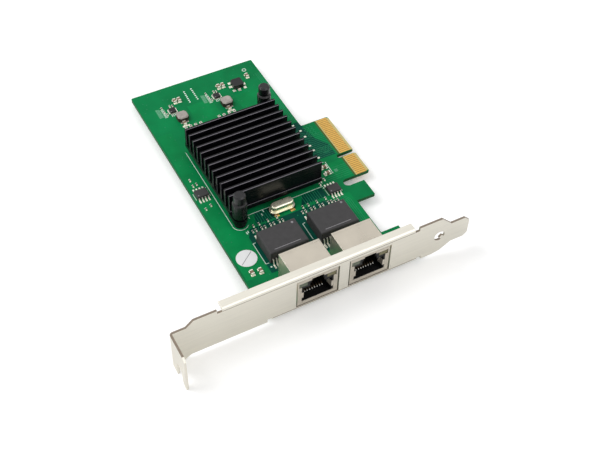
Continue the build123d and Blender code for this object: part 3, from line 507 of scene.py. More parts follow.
@dataclass
class Workshop:
    """Grows repeated shapes with Geometry Nodes and hands finished pieces to the frame."""

    frame: dict
    paints: Paintbox
    blob_rings: int = 8
    cone_tip: float = 0.16
    ring_band: float = 0.16

    def __post_init__(self) -> None:
        """Build the trees."""
        self.stamps = {shape: self.stamp_tree(shape) for shape in Shape}
        self.ribbon = self.ribbon_tree()

    @staticmethod
    def start(name: str, inputs: dict[str, str]) -> tuple:
        """Start a Geometry Nodes tree with a geometry, a finish and more named inputs."""
        inputs = {"Geometry": "Geometry", **inputs, "Finish": "Material"}
        return start_tree(name, "GeometryNodeTree", inputs, {"Geometry": "Geometry"})

    @staticmethod
    def close(tree: Tree, geometry: Socket, finish: Socket, result: Socket) -> None:
        """End a tree in Realize Instances and Set Material.

        Args:
            tree: The tree.
            geometry: What it made.
            finish: The material's input.
            result: Where the geometry goes.
        """
        real = add(tree, "GeometryNodeRealizeInstances", {"Geometry": geometry})
        paint = add(
            tree, "GeometryNodeSetMaterial",
            {"Geometry": real.outputs["Geometry"], "Material": finish},
        )
        feed(tree, result, paint.outputs["Geometry"])

    @staticmethod
    def sweep(tree: Tree, curve: Socket, width: object, height: object) -> bpy.types.Node:
        """Add a flat bar that runs along a curve with its width level.

        Args:
            tree: The tree.
            curve: The curve.
            width: The bar's width.
            height: Its thickness.

        Returns:
            The node that makes the bar's mesh.
        """
        level = add(tree, "GeometryNodeSetCurveNormal", {"Curve": curve}, mode="Z_UP")
        bar = add(
            tree, "GeometryNodeCurvePrimitiveQuadrilateral", {"Width": width, "Height": height}
        )
        return add(
            tree, "GeometryNodeCurveToMesh",
            {"Curve": level.outputs["Curve"], "Profile Curve": bar.outputs["Curve"]},
        )

    def unit_shape(self, tree: Tree, shape: Shape, sides: Socket) -> Socket:
        """Add one shape a unit wide, deep and high to a tree.

        Args:
            tree: The tree.
            shape: Which shape.
            sides: How many sides a round shape has.

        Returns:
            The shape's geometry socket.
        """
        half = 0.5
        if shape is Shape.BLOB:
            return add(
                tree, "GeometryNodeMeshUVSphere",
                {"Radius": half, "Rings": self.blob_rings, "Segments": sides},
            ).outputs["Mesh"]
        if shape is Shape.CONE:
            return add(
                tree, "GeometryNodeMeshCone",
                {"Radius Top": self.cone_tip, "Radius Bottom": half, "Depth": 1.0,
                 "Vertices": sides},
            ).outputs["Mesh"]
        if shape is Shape.BOX:
            node = add(tree, "GeometryNodeMeshCube")
        elif shape is Shape.DISC:
            node = add(
                tree, "GeometryNodeMeshCylinder",
                {"Radius": half, "Depth": 1.0, "Vertices": sides},
            )
        else:
            circle = add(
                tree, "GeometryNodeCurvePrimitiveCircle",
                {"Radius": half - self.ring_band / 2, "Resolution": sides},
            )
            node = self.sweep(tree, circle.outputs["Curve"], self.ring_band, 1.0)
        return add(
            tree, "GeometryNodeTransform",
            {"Geometry": node.outputs["Mesh"], "Translation": (0.0, 0.0, half)},
        ).outputs["Geometry"]

    def stamp_tree(self, shape: Shape) -> Tree:
        """Build the tree that sets one shape down at every point.

        Args:
            shape: Which shape.

        Returns:
            The tree.
        """
        tree, given, result = self.start(
            f"stamp_{shape.value}", {"Size": "Vector", "Sides": "Int"}
        )
        turn = add(tree, "GeometryNodeInputNamedAttribute", {"Name": "turn"}, data_type="FLOAT")
        around = add(tree, "ShaderNodeCombineXYZ", {"Z": turn.outputs["Attribute"]})
        rotation = add(tree, "FunctionNodeEulerToRotation", {"Euler": around.outputs["Vector"]})
        spread = add(
            tree, "GeometryNodeInstanceOnPoints",
            {"Rotation": rotation.outputs["Rotation"], "Points": given["Geometry"],
             "Scale": given["Size"], "Instance": self.unit_shape(tree, shape, given["Sides"])},
        )
        self.close(tree, spread.outputs["Instances"], given["Finish"], result["Geometry"])
        return tree

    def ribbon_tree(self) -> Tree:
        """Build the tree that runs a flat bar along every line.

        Returns:
            The tree.
        """
        tree, given, result = self.start("ribbon", {"Width": "Float", "Height": "Float"})
        curve = add(tree, "GeometryNodeMeshToCurve", {"Mesh": given["Geometry"]})
        bar = self.sweep(tree, curve.outputs["Curve"], given["Width"], given["Height"])
        feed(tree, bar.inputs["Fill Caps"], True)
        self.close(tree, bar.outputs["Mesh"], given["Finish"], result["Geometry"])
        return tree

    @staticmethod
    def grow(carrier: Mesh, tree: Tree, values: dict[str, object]) -> Mesh:
        """Run a tree over a mesh and keep the plain result.

        Args:
            carrier: The points or lines to grow on.
            tree: The Geometry Nodes tree.
            values: The tree's inputs by name.

        Returns:
            The grown mesh.
        """
        holder = put("holder", carrier)
        modifier = holder.modifiers.new("grow", "NODES")
        modifier.node_group = tree
        for item in tree.interface.items_tree:
            if item.in_out == "INPUT" and item.name in values:
                modifier[item.identifier] = values[item.name]
        bpy.context.view_layer.update()
        graph = bpy.context.evaluated_depsgraph_get()
        mesh = bpy.data.meshes.new_from_object(holder.evaluated_get(graph), depsgraph=graph)
        bpy.data.objects.remove(holder)
        return mesh

    def stamp(
        self, shape: Shape, places: list[Place], size: Triple, z: float,
        sides: int = 12,
    ) -> Mesh:
        """Set a shape down at many places.

        Args:
            shape: Which shape.
            places: The x, y and, if turned, the angle in degrees of each.
            size: Width, depth and height in millimetres; a negative height hangs down.
            z: The height that the shapes stand on.
            sides: How many sides a round shape has.

        Returns:
            The mesh of all of them.
        """
        carrier = made("places", [card(p[0], p[1], z) for p in places], [], [])
        turns = carrier.attributes.new("turn", "FLOAT", "POINT")
        for index, place in enumerate(places):
            turns.data[index].value = math.radians(place[2]) if len(place) > 2 else 0.0
        values = {"Size": tuple(side * MM for side in size), "Sides": sides}
        return self.grow(carrier, self.stamps[shape], values)

    def lines(self, paths: list[Path], width: float, height: float, z: float) -> Mesh:
        """Run a flat bar along paths on the card.

        Args:
            paths: The x and y of each path's points.
            width: The bar's width in millimetres.
            height: The bar's thickness.
            z: The height of the bar's lower side.

        Returns:
            The mesh of all bars.
        """
        points, edges = [], []
        for path in paths:
            first = len(points)
            points += [card(x, y, z + height / 2) for x, y in path]
            edges += [(i, i + 1) for i in range(first, len(points) - 1)]
        values = {"Width": width * MM, "Height": height * MM}
        return self.grow(made("paths", points, edges, []), self.ribbon, values)

    @staticmethod
    def plate(outline: Path, low: float, high: float) -> Mesh:
        """Make an upright prism from an outline on the card.

        Args:
            outline: The x and y of its corners, in order.
            low: The height of its lower side.
            high: The height of its upper side.

        Returns:
            The prism's mesh.
        """
        count = len(outline)
        points = [card(x, y, z) for z in (low, high) for x, y in outline]
        walls = [(i, (i + 1) % count, (i + 1) % count + count, i + count) for i in range(count)]
        faces = [tuple(range(count)), tuple(range(count, 2 * count)), *walls]
        return made("plate", points, [], faces)

    def piece(self, name: str, finish: str, slot: str, *meshes: Mesh) -> None:
        """Join meshes into one finished piece that rides on the card.

        Args:
            name: The piece's name.
            finish: The name of its finish.
            slot: The record's slot that it goes with; not used.
            *meshes: Its parts.
        """
        shape = bmesh.new()
        for part in meshes:
            shape.from_mesh(part)
        bmesh.ops.remove_doubles(shape, verts=shape.verts, dist=MERGE_DISTANCE)
        bmesh.ops.recalc_face_normals(shape, faces=shape.faces)
        for face in shape.faces:
            face.material_index = 0
        mesh = bpy.data.meshes.new(name)
        shape.to_mesh(mesh)
        shape.free()
        mesh.materials.clear()
        mesh.materials.append(self.paints.materials[finish])
        piece = put(name, mesh)
        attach(piece, BODY)
        LOG.info("%s: %d faces", name, len(mesh.polygons))

    def dress_nodes(self) -> None:
        """Give every node of the frame the finish of its slot, and the regulator and converter
        chips the dark resin.
        """
        for part in self.frame["record"]["subparts"]:
            name = part["node"]
            finish = "dark_resin" if name in DARK_NODES else part["material_slot"]
            node = self.frame["nodes"][name]
            node.data.materials.clear()
            node.data.materials.append(self.paints.materials[finish])
            LOG.info("%s: %s", name, finish)


def spanned(left: float, near: float, right: float, far: float) -> Path:
    """Return the four corners of a rectangle from its sides."""
    return [(left, near), (right, near), (right, far), (left, far)]


def boxed(x: float, y: float, width: float, depth: float) -> Path:
    """Return the four corners of a rectangle about a middle."""
    return spanned(x - width / 2, y - depth / 2, x + width / 2, y + depth / 2)


def sides_of(corners: Path) -> list[Path]:
    """Return the straight strokes round a closed outline."""
    return [[corners[i], corners[(i + 1) % len(corners)]] for i in range(len(corners))]


def arc(x: float, y: float, radius: float, start: float, end: float, steps: int = 16) -> Path:
    """Return points on an arc about a middle, with its angles in degrees."""
    angles = [math.radians(start + (end - start) * i / steps) for i in range(steps + 1)]
    return [(x + radius * math.cos(a), y + radius * math.sin(a)) for a in angles]


def row(x: float, y: float, step: Pair, count: int) -> Path:
    """Return points in a row, each a step from the last."""
    return [(x + i * step[0], y + i * step[1]) for i in range(count)]


def centred_row(x: float, y: float, pitch: float, count: int) -> Path:
    """Return points in a row along x about a middle."""
    return row(x - (count - 1) / 2 * pitch, y, (pitch, 0.0), count)


def copies(path: Path, step: Pair, count: int) -> list[Path]:
    """Return a path several times, each a step from the last."""
    return [[(x + dx, y + dy) for x, y in path] for dx, dy in row(0.0, 0.0, step, count)]


@dataclass
class BoardArtwork:
    """The board's printing, its traces under the coating, its vias and its bare strips."""

    shop: Workshop
    line_width: float = 0.26
    line_height: float = 0.036
    dot_width: float = 0.75
    mark_width: float = 0.7
    ring_width: float = 1.9
    ring_place: Pair = (86.8, 122.0)
    ring_sides: int = 24
    tick: Pair = (0.35, 1.1)
    comb_bar: Pair = (1.3, 0.28)
    comb_pitch: float = 0.7
    comb_side: Pair = (-5.6, 3.4)
    comb_front: Pair = (-3.1, 3.3)
    trace_width: float = 0.17
    trace_height: float = 0.018
    zone_heights: Triple = (0.006, 0.009, 0.012)
    via_width: float = 0.5
    via_height: float = 0.022
    hole_share: float = 0.45
    hole_rise: float = 1.4
    via_count: int = 120
    via_gap: float = 1.0
    via_margins: tuple[float, float, float, float] = (1.0, 14.0, 1.0, 1.2)
    via_sides: int = 10
    hole_sides: int = 8
    seed: int = 11
    keep_clear: tuple[tuple[float, float, float, float], ...] = (
        (44.0, 47.0, 85.0, 89.5), (47.5, 19.0, 86.0, 36.0), (47.5, 0.0, 86.5, 16.0),
        (37.0, 22.0, 46.5, 33.0), (36.0, 0.0, 47.5, 13.5), (89.0, 0.0, 101.0, 16.5),
        (42.5, 39.0, 51.5, 49.0), (77.5, 87.0, 86.0, 97.0), (58.5, 40.5, 71.0, 47.0),
        (96.0, 45.0, 106.0, 81.0), (47.5, 102.5, 54.5, 119.0), (67.5, 102.5, 74.5, 119.0),
        (76.0, 110.0, 84.0, 118.5), (36.4, 60.0, 44.0, 68.0), (83.0, 38.5, 91.0, 47.5),
    )
    tongue_halves: tuple[Pair, ...] = ((46.05, 57.0), (59.3, 80.2))
    tongue_strips: tuple[tuple[str, str, float, float, float], ...] = (
        ("coating_border", "olive_laminate", 98.33, 99.03, 0.03),
        ("contact_border", "pale_laminate", 99.03, 99.46, 0.03),
        ("contact_gaps", "tan_laminate", 99.48, 103.88, 0.02),
    )
    bevel_run: float = 1.2
    bevel_drop: float = 0.35
    bevel_inset: float = 0.5
    bevel_skin: float = 0.03

    @staticmethod
    def outline_strokes() -> list[Path]:
        """Return the printed outlines round the sink, its pins and the modules.

        Returns:
            The paths of the strokes.
        """
        left, right = PIN_PLACES
        strokes = [
            [(44.0, 87.5), (43.85, 44.0)],
            arc(*left, 3.15, 180, 322),
            arc(left[0] + 1.2, left[1] + 0.6, 3.2, 2, 22, 4),
            [(50.9, 46.3), (84.4, 46.6)],
            arc(*right, 3.3, -20, 190),
            [(84.7, 48.0), (84.7, 90.0)],
            [(46.9, 32.7), (46.9, 22.0)],
            [(46.9, 22.0), (48.2, 21.9)],
            [(46.9, 32.7), (48.0, 32.8)],
            [(68.05, 33.0), (68.0, 24.7)],
            [(68.05, 33.0), (69.2, 33.2)],
            [(91.36, 57.75), (91.26, 51.03)],
            [(88.0, 57.9), (90.7, 57.9)],
            [(86.2, 95.0), (88.6, 95.0)],
        ]
        for x, y in SMALL_CHIPS:
            strokes += [[(x + side, y - 1.8), (x + side, y + 1.8)] for side in (-2.9, 2.9)]
        return strokes

    def silkscreen(self) -> None:
        """Print the outlines, the dotted lines, the ladders by the inductors and the marks."""
        shop, height = self.shop, self.line_height
        dots = row(58.0, 120.8, (-0.05, -1.13), 7) + row(61.4, 121.2, (0.0, -1.15), 7)
        ticks = [(57.6, 45.6), (56.4, 44.2), (87.3, 60.4), (47.2, 38.4), (47.9, 38.8)]
        marks = [(42.9, 66.6), (84.1, 45.6), (48.1, 19.9), (69.3, 19.9)]
        pitch, side, front = self.comb_pitch, self.comb_side, self.comb_front
        combs: list[Place] = []
        for x, y in INDUCTORS:
            combs += row(x + side[0], y + side[1], (0.0, pitch), 8)
            rungs = row(x + front[0], y + front[1], (pitch, 0.0), 4)
            combs += [(*place, 90.0) for place in rungs]
        shop.piece(
            "silkscreen", "silk_white", "white_paper",
            shop.lines(self.outline_strokes(), self.line_width, height, 0.0),
            shop.stamp(Shape.DISC, dots, (self.dot_width, self.dot_width, height), 0.0),
            shop.stamp(Shape.BOX, ticks, (*self.tick, height), 0.0),
            shop.stamp(Shape.BOX, combs, (*self.comb_bar, height), 0.0),
            shop.stamp(Shape.DISC, marks, (self.mark_width, self.mark_width, height), 0.0),
            shop.stamp(
                Shape.RING, [self.ring_place], (self.ring_width, self.ring_width, height), 0.0,
                self.ring_sides,
            ),
        )

    def zones(self) -> None:
        """Lay the areas where the board looks deeper, brighter or paler through its coating."""
        deep = [
            [(46.9, 17.2), (66.6, 17.2), (66.6, 39.8), (49.0, 39.8), (46.9, 36.0)],
            [(66.6, 17.2), (88.2, 17.2), (88.2, 36.5), (81.0, 39.8), (66.6, 39.8)],
            [(52.0, 40.6), (60.5, 40.6), (60.5, 46.2), (54.0, 46.2)],
            [(72.0, 41.4), (83.4, 41.4), (83.4, 46.1), (74.6, 46.1)],
            [(84.9, 60.0), (97.6, 60.0), (97.6, 66.0), (94.2, 71.5), (92.2, 83.0), (84.9, 83.0)],
        ]
        bright = [
            [(37.2, 18.0), (46.2, 18.0), (46.2, 38.5), (42.8, 43.0), (42.8, 60.0), (37.2, 60.0)],
            spanned(37.2, 69.0, 43.2, 100.5),
            spanned(55.4, 91.0, 66.5, 112.0),
            spanned(76.0, 98.5, 91.8, 109.0),
            spanned(91.4, 47.0, 98.0, 56.4),
            spanned(88.6, 17.5, 92.0, 39.5),
            spanned(64.0, 39.9, 71.6, 42.4),
        ]
        pale = [
            [(42.5, 110.2), (44.3, 110.2), (44.4, 115.3), (42.6, 115.8)],
            [(62.8, 110.4), (64.3, 110.3), (64.7, 115.1), (63.0, 115.5)],
            boxed(93.1, 51.9, 1.4, 1.6),
            boxed(89.6, 104.0, 1.2, 1.2),
            boxed(47.4, 38.6, 1.0, 1.3),
        ]
        for high, depth, outlines in zip(
            self.zone_heights, ("deep", "bright", "pale"), (deep, bright, pale)
        ):
            plates = [self.shop.plate(outline, 0.0, high) for outline in outlines]
            self.shop.piece(f"{depth}_zones", f"{depth}_mask", "board_green", *plates)

    @staticmethod
    def fan(start: Pair, end: Pair, count: int, pitch: Pair) -> list[Path]:
        """Run side by side traces along x with two bends in each.

        Args:
            start: Where the first trace starts.
            end: Where it ends.
            count: How many traces.
            pitch: Their spacing in y at the start and at the end.

        Returns:
            The traces' paths.
        """
        run, stagger, tail = 1.2, 0.12, 0.4
        paths = []
        for i in range(count):
            y0, y1 = start[1] + i * pitch[0], end[1] + i * pitch[1]
            knee = start[0] + run + stagger * i
            rise = min(abs(y1 - y0), max(0.0, end[0] - knee - tail))
            paths.append([(start[0], y0), (knee, y0), (knee + rise, y1), (end[0], y1)])
        return paths

    @staticmethod
    def wavy(x: float, y0: float, y1: float, swing: float, waves: int) -> Path:
        """Return a trace that runs along y and swings from side to side to make up length.

        Args:
            x: The line that it swings about.
            y0: Where it starts.
            y1: Where it ends.
            swing: How far it swings to each side.
            waves: How many waves it has.

        Returns:
            The trace's path.
        """
        steps_per_wave = 8
        steps = waves * steps_per_wave
        return [
            (x + swing * math.sin(2 * math.pi * waves * i / steps), y0 + (y1 - y0) * i / steps)
            for i in range(steps + 1)
        ]

    def traces(self) -> None:
        """Lay the traces of the upper side."""
        paths = self.fan((84.9, 63.0), (98.7, 60.6), 14, (1.25, 1.0))
        paths += self.fan((84.9, 48.6), (98.7, 47.6), 7, (1.0, 1.0))
        paths += [self.wavy(x, 72.5, 79.0, 0.5, 4) for x in (92.9, 94.4, 95.9)]
        paths += [arc(94.6, 66.2, 0.9 + 0.62 * i, 185, 345) for i in range(6)]
        for jack in JACK_XS:
            for (x, y), (top, _) in zip(
                row(jack - 6.35, 35.0, (1.75, 0.0), 8), row(jack - 3.5, 0.0, (1.0, 0.0), 8)
            ):
                paths.append([(x, y), (x, 38.2), (top, 41.6), (top, 46.2)])
            paths += [list(ends) for ends in zip(
                centred_row(jack, 14.9, 1.6, JACK_CONTACTS),
                centred_row(jack, 19.0, 1.75, JACK_CONTACTS),
            )]
        paths += [[(86.5, y), (x, y), (x - 0.5, y + 1.0)] for x, y in
                  row(76.0, 98.0, (1.0, 1.0), 3)]
        paths += copies([(88.2, 17.0), (88.2, 36.0), (86.6, 38.6)], (0.8, 0.0), 4)
        paths += copies([(91.6, 84.0), (91.6, 118.0)], (-0.7, 0.0), 3)
        mesh = self.shop.lines(paths, self.trace_width, self.trace_height, 0.0)
        self.shop.piece("upper_traces", "masked_copper", "board_green", mesh)

    def via_places(self) -> list[Place]:
        """Scatter vias over the board where nothing stands on it.

        Returns:
            Their places.
        """
        draw = random.Random(self.seed)
        places: list[Place] = []
        left, near, right, far = self.via_margins
        while len(places) < self.via_count:
            x = draw.uniform(BOARD_LOW[0] + left, BOARD_HIGH[0] - right)
            y = draw.uniform(BOARD_LOW[1] + near, BOARD_HIGH[1] - far)
            blocked = any(a < x < c and b < y < d for a, b, c, d in self.keep_clear)
            crowded = any(math.hypot(x - p[0], y - p[1]) < self.via_gap for p in places)
            if not blocked and not crowded:
                places.append((round(x, 2), round(y, 2)))
        return places

    def vias(self) -> None:
        """Set the vias down on both sides, with a dark disc in each hole as its painted shade."""
        shop, places = self.shop, self.via_places()
        rings, holes = [], []
        hole = self.via_width * self.hole_share
        for z, height in ((0.0, self.via_height), (-BOARD_T, -self.via_height)):
            size = (self.via_width, self.via_width, height)
            rings.append(shop.stamp(Shape.DISC, places, size, z, self.via_sides))
            size = (hole, hole, height * self.hole_rise)
            holes.append(shop.stamp(Shape.DISC, places, size, z, self.hole_sides))
        shop.piece("via_rings", "masked_copper", "board_green", *rings)
        shop.piece("via_hole_shades", "via_hole_shade", "board_green", *holes)

    def bevel(self, near: float, far: float, side: int) -> Mesh:
        """Make the bare skin on one bevel of the tongue's leading edge.

        Args:
            near: Where it starts along y.
            far: Where it ends.
            side: 1 for the upper side, -1 for the lower one.

        Returns:
            The skin's mesh.
        """
        start, face = EDGE_X - self.bevel_run, 0.0 if side > 0 else -BOARD_T
        drop, skin = self.bevel_drop * side, self.bevel_skin * side
        wedge = [(start, face), (EDGE_X, face - drop), (EDGE_X, face - drop + skin),
                 (start, face + skin)]
        points = [card(x, y, z) for y in (near, far) for x, z in wedge]
        return made("bevel", points, [], [
            (0, 1, 2, 3), (4, 5, 6, 7), (0, 1, 5, 4), (1, 2, 6, 5), (2, 3, 7, 6), (3, 0, 4, 7),
        ])

    def bare_laminate(self) -> None:
        """Lay the bare laminate beside the contacts and on the tongue's bevels."""
        for name, finish, x0, x1, high in self.tongue_strips:
            plates = [
                self.shop.plate(spanned(x0, a, x1, b), *levels)
                for a, b in self.tongue_halves
                for levels in ((0.0, high), (-BOARD_T - high, -BOARD_T))
            ]
            self.shop.piece(name, finish, "board_green", *plates)
        (near, gap_near), (gap_far, far) = self.tongue_halves
        bevels = [
            self.bevel(*ends, side)
            for ends in ((near + self.bevel_inset, gap_near), (gap_far, far - self.bevel_inset))
            for side in (1, -1)
        ]
        self.shop.piece("tongue_bevels", "pale_laminate", "board_green", *bevels)

    def build(self) -> None:
        """Build all of it in order."""
        self.zones()
        self.traces()
        self.vias()
        self.silkscreen()
        self.bare_laminate()


@dataclass
class SolderLands:
    """The tinned lands on the board's upper side, under and round the parts."""

    shop: Workshop
    height: float = 0.03
    module_y: float = 27.2
    module_reach: float = 7.85
    module_leads: int = 12
    module_land: Pair = (0.7, 1.9)
    chip_reach: float = 3.2
    chip_leads: int = 4
    chip_land: Pair = (0.65, 1.5)
    capacitor_reach: float = 0.95
    capacitor_land: Pair = (1.6, 1.05)
    small_reach: float = 0.5
    small_land: Pair = (0.62, 0.5)
    inductor_reach: float = 2.3
    inductor_land: Pair = (3.4, 1.3)
    converter: Pair = (-1.9, 5.9)
    converter_reach: float = 1.65
    converter_rows: tuple[float, ...] = (-1.0, -0.33, 0.33, 1.0)
    regulator_land: Pair = (1.3, 1.3)
    regulator_spots: tuple[Pair, ...] = (
        (-2.5, -2.5), (-2.5, 2.5), (2.5, -2.5), (2.5, 2.5),
        (-3.0, 0.3), (3.0, -0.3), (-0.3, -3.0), (0.3, 3.0),
    )
    strip_offset: Pair = (-0.3, -4.8)
    strip_land: Pair = (3.2, 0.8)
    row_offset: float = -5.9
    row_land: Pair = (1.15, 1.7)
    row_places: tuple[tuple[float, ...], ...] = ((-0.9, 1.2, 3.4, 5.7), (-6.1, -3.9, -1.4, 0.9))
    loose_land: Pair = (0.95, 0.75)
    loose: tuple[Pair, ...] = (
        (89.2, 84.6), (89.6, 81.7), (90.9, 77.7), (91.0, 73.9), (90.3, 68.4), (90.4, 65.5),
        (90.2, 60.9),
    )
    pad_places: tuple[Pair, ...] = ((68.1, 41.3), (61.3, 41.4))
    pad_size: Triple = (1.9, 1.6, 0.04)
    screw_ring: float = 7.2

    def lands(self, places: list[Place], land: Pair, layers: int = 1) -> Mesh:
        """Set lands of one size down, one or more layers thick."""
        return self.shop.stamp(Shape.BOX, places, (*land, self.height * layers), 0.0)

    def lead_lands(self) -> list[Mesh]:
        """Make the lands of the leaded packages.

        Returns:
            Their meshes.
        """
        modules, chips = [], []
        for side in (-1, 1):
            for x in JACK_XS:
                y = self.module_y + side * self.module_reach
                modules += centred_row(x, y, LEAD_PITCH, self.module_leads)
            for x, y in SMALL_CHIPS:
                chips += centred_row(x, y + side * self.chip_reach, LEAD_PITCH, self.chip_leads)
        return [self.lands(modules, self.module_land), self.lands(chips, self.chip_land)]

    def part_lands(self) -> list[Mesh]:
        """Make the lands at the ends of the chip parts and round the power parts.

        Returns:
            Their meshes.
        """
        big: list[Place] = []
        tiny: list[Place] = []
        wide: list[Place] = []
        for name, ends, reach in (
            ("capacitor_bodies", big, self.capacitor_reach),
            ("small_part_bodies", tiny, self.small_reach),
        ):
            for x, y, lying in self.middles(name):
                for side in (-reach, reach):
                    dx, dy = (side, 0.0) if lying else (0.0, side)
                    ends.append((x + dx, y + dy, 90.0 if lying else 0.0))
        for x, y in INDUCTORS:
            wide += [(x, y - self.inductor_reach), (x, y + self.inductor_reach)]
            left, far = x + self.converter[0], y + self.converter[1]
            for side in (-self.converter_reach, self.converter_reach):
                tiny += [(left + offset, far + side) for offset in self.converter_rows]
                tiny += [(left + side, far + offset, 90.0) for offset in self.converter_rows]
        spots = [(REGULATOR[0] + dx, REGULATOR[1] + dy) for dx, dy in self.regulator_spots]
        dx, dy = self.strip_offset
        strips = [(x + dx, y + dy) for x, y in INDUCTORS]
        rows = [
            (x + offset, y + self.row_offset)
            for (x, y), offsets in zip(INDUCTORS, self.row_places) for offset in offsets
        ]
        return [
            self.lands(big, self.capacitor_land),
            self.lands(tiny, self.small_land),
            self.lands(wide, self.inductor_land),
            self.lands(spots, self.regulator_land, 2),
            self.lands(strips, self.strip_land, 2),
            self.lands(rows, self.row_land),
            self.lands(list(self.loose), self.loose_land, 3),
        ]

    def middles(self, name: str) -> list[tuple[float, float, bool]]:
        """Find the middle of each loose body of a node, and whether it lies along x.

        Args:
            name: The node's name.

        Returns:
            The places on the card.
        """
        shape = bmesh.new()
        shape.from_mesh(self.shop.frame["nodes"][name].data)
        bmesh.ops.remove_doubles(shape, verts=shape.verts, dist=MERGE_DISTANCE)
        seen: set[bmesh.types.BMVert] = set()
        found = []
        for vertex in shape.verts:
            if vertex in seen:
                continue
            island = [vertex]
            seen.add(vertex)
            for current in island:
                for edge in current.link_edges:
                    other = edge.other_vert(current)
                    if other not in seen:
                        seen.add(other)
                        island.append(other)
            (left, right), (near, far) = (
                (min(side), max(side))
                for side in ([vert.co[axis] / MM for vert in island] for axis in (0, 1))
            )
            lying = right - left > far - near
            found.append(((left + right) / 2 + EDGE_X, (near + far) / 2 + KEY_Y, lying))
        shape.free()
        return found

    def build(self) -> None:
        """Build the tinned lands and the gold ones."""
        shop = self.shop
        shop.piece(
            "solder_lands", "solder", "tinned_leads", *self.lead_lands(), *self.part_lands()
        )
        ring = (self.screw_ring, self.screw_ring, self.height)
        shop.piece(
            "gold_pads", "pad_gold", "gold_plating",
            shop.stamp(Shape.BOX, list(self.pad_places), self.pad_size, 0.0),
            shop.stamp(Shape.RING, list(SCREW_PLACES), ring, 0.0, 32),
        )


@dataclass
class HeatSinkTrim:
    """Painted highlights along the upper edges of the fins and of the base's step."""

    shop: Workshop
    fin_count: int = 12
    fin_pitch: float = 3.59
    first_fin: float = 47.9
    left: float = 44.6
    right: float = 84.1
    fin_top: float = 12.2
    base_top: float = 4.2
    crest: float = 0.25
    step_y: float = 47.52
    step_width: float = 0.28
    corner: float = 0.12
    corner_inset: Pair = (0.08, -0.13)
    inset: float = 0.1
    skin: float = 0.02

    def build(self) -> None:
        """Lay a thin painted highlight line along each fin's crest and along the base's front."""
        first = self.first_fin + self.crest / 2 + self.skin
        left, right = self.left + self.inset, self.right - self.inset
        fins = copies([(left, first), (right, first)], (0.0, self.fin_pitch), self.fin_count)
        dx, dy = self.corner_inset
        corners = row(self.left + dx, first + dy, (0.0, self.fin_pitch), self.fin_count)
        step = [[(left, self.step_y), (right, self.step_y)]]
        upright = (self.corner, self.corner, self.fin_top - self.base_top)
        self.shop.piece(
            "fin_crest_highlights", "fin_highlight_grey", "black_aluminium",
            self.shop.lines(fins, self.crest, self.skin, self.fin_top),
            self.shop.lines(step, self.step_width, self.skin, self.base_top),
            self.shop.stamp(Shape.BOX, corners, upright, self.base_top),
        )


@dataclass
class PushPinTrim:
    """The moulded details of the two push pins."""

    shop: Workshop
    skirt_d: float = 5.6
    rib_low: float = 5.3
    rib: Triple = (0.14, 0.3, 6.6)
    count: int = 12

    def build(self) -> None:
        """Set fine ribs round each skirt."""
        ribs = []
        for x, y in PIN_PLACES:
            ends = arc(x, y, self.skirt_d / 2, 0.0, 360.0, self.count)[:-1]
            ribs += [(*place, 360.0 * i / self.count) for i, place in enumerate(ends)]
        mesh = self.shop.stamp(Shape.BOX, ribs, self.rib, self.rib_low)
        self.shop.piece("pin_ribs", "pin_plastic", "pin_plastic", mesh)


@dataclass
class JackTrim:
    """Painted highlights on the noses of the contact wires, and the folds of the shields."""

    shop: Workshop
    nose: Triple = (0.42, 0.5, 0.75)
    nose_y: float = 3.3
    nose_z: float = 2.05
    half_width: float = 7.65
    fold_start: float = 1.3
    fold_end: float = 14.65
    back_fold: float = 13.9
    fold: Pair = (0.12, 0.025)
    fold_z: float = 12.795

    def build(self) -> None:
        """Set the painted highlights on the wire noses, and the seams where the sheet is folded.
        """
        noses, seams = [], []
        for x in JACK_XS:
            noses += centred_row(x, self.nose_y, WIRE_PITCH, JACK_CONTACTS)
            edges = (x - self.half_width, x + self.half_width)
            seams += [[(edge, self.fold_start), (edge, self.fold_end)] for edge in edges]
            seams.append([(edge, self.back_fold) for edge in edges])
        nose = self.shop.stamp(Shape.BLOB, noses, self.nose, self.nose_z, 10)
        self.shop.piece("wire_nose_glints", "nose_glint_white", "contact_gold", nose)
        fold = self.shop.lines(seams, *self.fold, self.fold_z)
        self.shop.piece("shield_folds", "jack_shield", "jack_shield", fold)


@dataclass
class BracketTrim:
    """The painted shade lines along the foot of each bend on the bracket's outer face, and a
    darker skin on its cut upper edges.
    """

    shop: Workshop
    line_width: float = 0.2
    skin: float = 0.02
    upper_fold: Triple = (19.6, 95.9, 14.52)
    lower_fold: Triple = (38.5, 98.0, -1.2)
    sheet_t: float = 0.86
    upward: float = 0.5
    bent: float = 0.05

    def cut_edges(self) -> Mesh:
        """Cover the plate's upper cut faces with a thin skin.

        Returns:
            The skin's mesh.
        """
        shape = bmesh.new()
        shape.from_mesh(self.shop.frame["nodes"]["bracket"].data)
        back = card(0.0, self.sheet_t + self.skin).y
        other = [
            face for face in shape.faces
            if face.normal.z < self.upward or abs(face.normal.y) > self.bent
            or max(vertex.co.y for vertex in face.verts) > back
        ]
        bmesh.ops.delete(shape, geom=other, context="FACES")
        grown = bmesh.ops.extrude_face_region(shape, geom=list(shape.faces), use_keep_orig=True)
        raised = [item for item in grown["geom"] if isinstance(item, bmesh.types.BMVert)]
        bmesh.ops.translate(shape, verts=raised, vec=(0.0, 0.0, self.skin * MM))
        mesh = bpy.data.meshes.new("cut_edges")
        shape.to_mesh(mesh)
        shape.free()
        return mesh

    def build(self) -> None:
        """Lay a thin painted shade line where each bend starts, and the darker skin on the cut
        edges.
        """
        y = -self.skin / 2
        folds = [
            self.shop.lines([[(start, y), (end, y)]], self.skin, self.line_width, z)
            for start, end, z in (self.upper_fold, self.lower_fold)
        ]
        self.shop.piece("fold_shade_lines", "fold_shade_and_edge_grey", "bracket_steel", *folds)
        self.shop.piece("cut_edges", "fold_shade_and_edge_grey", "bracket_steel", self.cut_edges())


